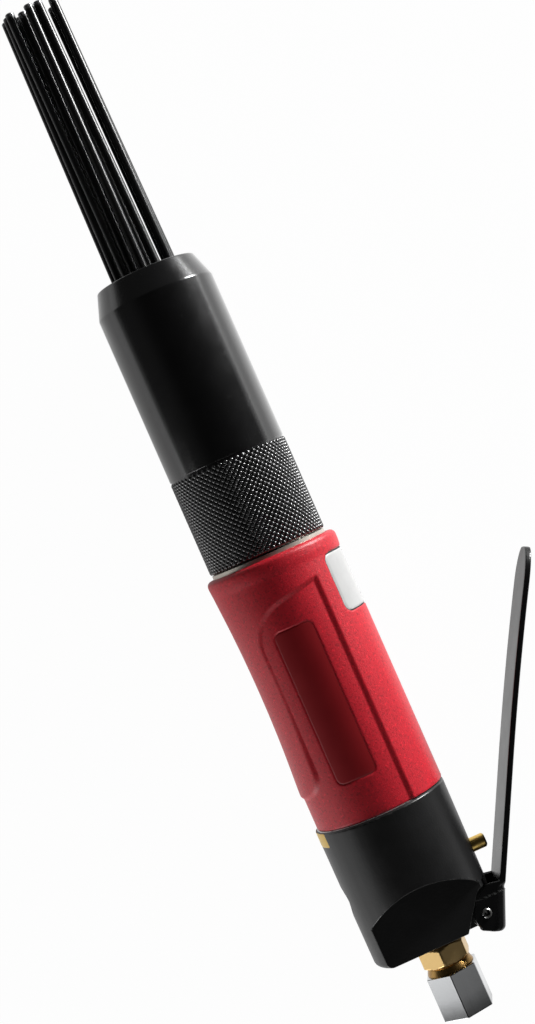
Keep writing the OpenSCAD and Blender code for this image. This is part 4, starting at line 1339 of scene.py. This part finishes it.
def inlet_thread():
    """The female thread in the fitting's bore, as a wound ridge."""
    tree = Tree("Inlet thread")
    turns = tree.size("Turns")
    depth = tree.size("Depth")
    radius = tree.size("Radius")
    tooth = tree.size("Tooth")
    path = tree.node("GeometryNodeCurveSpiral", None, {
        "Resolution": 36, "Rotations": turns, "Start Radius": radius, "End Radius": radius, "Height": depth})
    ridge = tree.node("GeometryNodeCurvePrimitiveCircle", {"mode": "RADIUS"}, {
        "Resolution": 6, "Radius": tooth})
    wound = tree.node("GeometryNodeCurveToMesh", None, {0: path, 1: ridge, "Fill Caps": True})
    laid = tree.node("GeometryNodeTransform", None, {
        "Geometry": wound, "Translation": (0.0, 1.0 * MM, 0.0), "Rotation": (-math.pi / 2.0, 0.0, 0.0)})
    tree.close(laid, finish(zinc_plate))
    return tree.grow("inlet_thread", {
        "Turns": 6.5, "Depth": 9.2 * MM, "Radius": 6.30 * MM, "Tooth": 0.45 * MM})


class SCALER_OT_inlet(bpy.types.Operator):
    """Turns the plated inlet fitting with its thread, and the brass bush."""

    bl_idname = "scaler.inlet"
    bl_label = "Air inlet"

    def execute(self, context):
        carry(inlet_fitting(), "tool", "plated_steel", "inlet_fitting")
        carry(brass_bush(), "tool", "brass", "inlet_bush")
        carry(inlet_thread(), "tool", "plated_steel")
        return {"FINISHED"}


class SCALER_OT_throttle(bpy.types.Operator):
    """Finishes the brass throttle stem."""

    bl_idname = "scaler.throttle"
    bl_label = "Throttle stem"

    def execute(self, context):
        metal = finish(stem_brass)
        stem = softened_copy("throttle_stem", "brass_stem", 0.18 * MM, metal, metal)
        carry(stem, "throttle", "brass", "throttle_stem")
        return {"FINISHED"}


class SCALER_OT_needles(bpy.types.Operator):
    """Finishes the needles, their holder, the anvil and the needle spring."""

    bl_idname = "scaler.needles"
    bl_label = "Needles"

    def execute(self, context):
        prefix = "needle_"
        repaint(finish(needle_black), *[node for node in frame["nodes"] if node.startswith(prefix)
                                        and node[len(prefix):].isdigit()])
        repaint(finish(ground_steel), "needle_holder", "anvil")
        coil_copy("needle_spring", "needle_coil")
        return {"FINISHED"}


class SCALER_OT_inner(bpy.types.Operator):
    """Finishes the working pieces inside: barrel, piston, valve, throttle spring, bushes and seals."""

    bl_idname = "scaler.inner"
    bl_label = "Inner pieces"

    def execute(self, context):
        repaint(finish(ground_steel), "inlet_screen", "valve_seat_rear", "valve_disc", "valve_seat_front",
                "valve_dowel", "barrel", "piston")
        coil_copy("throttle_spring", "throttle_coil")
        repaint(finish(bronze), "throttle_bush", "anvil_bush")
        repaint(finish(seal_rubber), "inlet_washer", "throttle_seal", "stem_seal", "plug_seal",
                "chest_gasket", "barrel_seal", "anvil_seal", "anvil_bumper", "nozzle_seal")
        return {"FINISHED"}


def aim(obj, place, target, up):
    """Stands an object at a place, looking at a target along its own -Z."""
    back = (place - target).normalized()
    side = up.cross(back).normalized()
    turn = Matrix((side, back.cross(side), back)).transposed()
    obj.matrix_world = Matrix.Translation(place) @ turn.to_4x4()


def lamp(name, place, target, width, height, radiance):
    """A soft rectangular lamp of a given radiance."""
    data = bpy.data.lights.new(name, "AREA")
    data.shape = "RECTANGLE"
    data.size = width
    data.size_y = height
    data.energy = radiance * math.pi * width * height
    obj = link(name, data)
    aim(obj, place, target, Vector((0.0, 0.0, 1.0)))
    obj.visible_camera = False


def floor_white(seen, bounce, mirrored):
    """White floor: plain white to the eye, with the object's soft shadow kept. In reflections it is painted
    light: more plain white on the lever side close to the tool, less on the back side and further off, where
    the lit matt floor shows through.
    """
    paint = Paint("floor_white")
    matt = paint.node("ShaderNodeBsdfDiffuse", None, {"Color": (0.82, 0.82, 0.82, 1.0)})
    plain = paint.node("ShaderNodeEmission", None, {"Color": (1.0, 1.0, 1.0, 1.0), "Strength": 1.0})
    camera, diffuse, glossy, through = [
        paint.node("ShaderNodeLightPath", output=label)
        for label in ("Is Camera Ray", "Is Diffuse Ray", "Is Glossy Ray", "Is Transmission Ray")]
    inlet, needles, close, far = mirrored
    # Painted light: the share of plain white in reflections changes from the inlet to the needles on the
    # back side, rises to its full share on the lever side close to the tool and falls further off.
    across = paint.axis(0)
    back = paint.step(paint.axis(1), 50.0 * MM, 220.0 * MM, inlet, needles)
    lever_side = paint.step(across, -10.0 * MM, 15.0 * MM)
    side = back + lever_side * (close - back) - paint.step(across, 40.0 * MM, 120.0 * MM, 0.0, close - far)
    share = camera * seen + diffuse * bounce + paint.math("MAXIMUM", glossy, through) * side
    mixed = paint.node("ShaderNodeMixShader", None, {0: share, 1: matt, 2: plain})
    paint.node("ShaderNodeOutputMaterial", None, {"Surface": mixed})
    return paint.owner


def dim_room(horizon, sky):
    """A room that is bright at eye level, more so on the lever side, and dim above."""
    paint = Paint("dim_room", "worlds")
    way = paint.node("ShaderNodeTexCoord", output="Generated")
    across = paint.node("ShaderNodeSeparateXYZ", None, {0: way}, 0)
    height = paint.node("ShaderNodeSeparateXYZ", None, {0: way}, 2)
    halfway, overhead = sky
    low = paint.step(across, -0.6, 0.6, *horizon) - halfway
    level = overhead + low * paint.step(height, 0.0, 0.18, 1.0, 0.0)
    level = level + paint.step(height, 0.55, 0.97, halfway - overhead, 0.0)
    light = paint.node("ShaderNodeBackground", None, {"Color": (1.0, 1.0, 1.0, 1.0), "Strength": level})
    paint.node("ShaderNodeOutputWorld", None, {"Surface": light})
    return paint.owner


# Each lamp's name, its place from the point that the camera looks at, its width and its height.
LAMPS = (
    ("key", (0.85, 0.46, 0.13), 0.22, 0.3),
    ("fill", (-0.90, -0.27, 0.17), 0.35, 0.5),
    ("rear", (-0.70, -0.80, 0.12), 0.5, 0.28),
    ("top", (0.0, -0.95, 0.80), 0.8, 0.5),
    ("window", (0.61, -0.36, 0.74), 0.2, 0.2),
)


class SCALER_OT_stage(bpy.types.Operator):
    """Sets the floor, the lamps, the dim room and the camera."""

    bl_idname = "scaler.stage"
    bl_label = "Stage"

    def execute(self, context):
        stage = context.scene.scaler_stage
        reach, low = 6.0, CAD_BOX[0][2] - 0.1 * MM
        corners = [(-reach, -reach, low), (reach, -reach, low), (reach, reach, low), (-reach, reach, low)]
        mesh = bpy.data.meshes.new("floor")
        mesh.from_pydata(corners, [], [(0, 1, 2, 3)])
        mesh.materials.append(floor_white(stage.floor_seen, stage.floor_bounce, stage.floor_mirrored))
        link("floor", mesh)

        target = Vector((5.63 * MM, 184.0 * MM, 0.0))
        for name, place, width, height in LAMPS:
            lamp(name, target + Vector(place), target, width, height, getattr(stage, name))
        context.scene.world = dim_room(stage.horizon, stage.sky)

        data = bpy.data.cameras.new("camera")
        data.lens = stage.lens
        data.sensor_width = 36.0
        data.shift_x, data.shift_y = stage.shift
        data.clip_start = 0.01
        camera = link("camera", data)
        lean, roll = stage.lean, stage.roll
        place = target + stage.distance * Vector((-math.sin(lean), 0.0, math.cos(lean)))
        aim(camera, place, target, Vector((math.sin(roll), math.cos(roll), 0.0)))
        context.scene.camera = camera
        context.scene.view_settings.view_transform = "Standard"
        return {"FINISHED"}


class SCALER_PT_panel(bpy.types.Panel):
    """Lists the operators and the sizes and colours that they read."""

    bl_idname = "SCALER_PT_panel"
    bl_label = "Needle scaler"
    bl_space_type = "VIEW_3D"
    bl_region_type = "UI"
    bl_category = "Scaler"

    def draw(self, context):
        for operator in OPERATORS:
            self.layout.operator(operator.bl_idname)
        for name in GROUPS:
            group = getattr(context.scene, name)
            box = self.layout.box()
            for key in group.bl_rna.properties.keys():
                if key not in ("rna_type", "name"):
                    box.prop(group, key)


GROUPS = {"scaler_grip": GripSizes, "scaler_nozzle": NozzleSizes, "scaler_lever": LeverSizes,
          "scaler_colours": Colours, "scaler_stage": StageSettings}
OPERATORS = (SCALER_OT_stage, SCALER_OT_grip, SCALER_OT_plates, SCALER_OT_nozzle, SCALER_OT_knurl,
             SCALER_OT_housing, SCALER_OT_lever, SCALER_OT_inlet, SCALER_OT_throttle, SCALER_OT_needles,
             SCALER_OT_inner)
CLASSES = tuple(GROUPS.values()) + OPERATORS + (SCALER_PT_panel,)


def register():
    for item in CLASSES:
        bpy.utils.register_class(item)
    for name, group in GROUPS.items():
        setattr(bpy.types.Scene, name, PointerProperty(type=group))


def unregister():
    for name in GROUPS:
        delattr(bpy.types.Scene, name)
    for item in reversed(CLASSES):
        bpy.utils.unregister_class(item)


def main():
    register()
    bpy.ops.scaler.stage()
    bpy.ops.scaler.grip()
    bpy.ops.scaler.plates()
    bpy.ops.scaler.nozzle()
    bpy.ops.scaler.knurl()
    bpy.ops.scaler.housing()
    bpy.ops.scaler.lever()
    bpy.ops.scaler.inlet()
    bpy.ops.scaler.throttle()
    bpy.ops.scaler.needles()
    bpy.ops.scaler.inner()


if __name__ == "__main__":
    main()
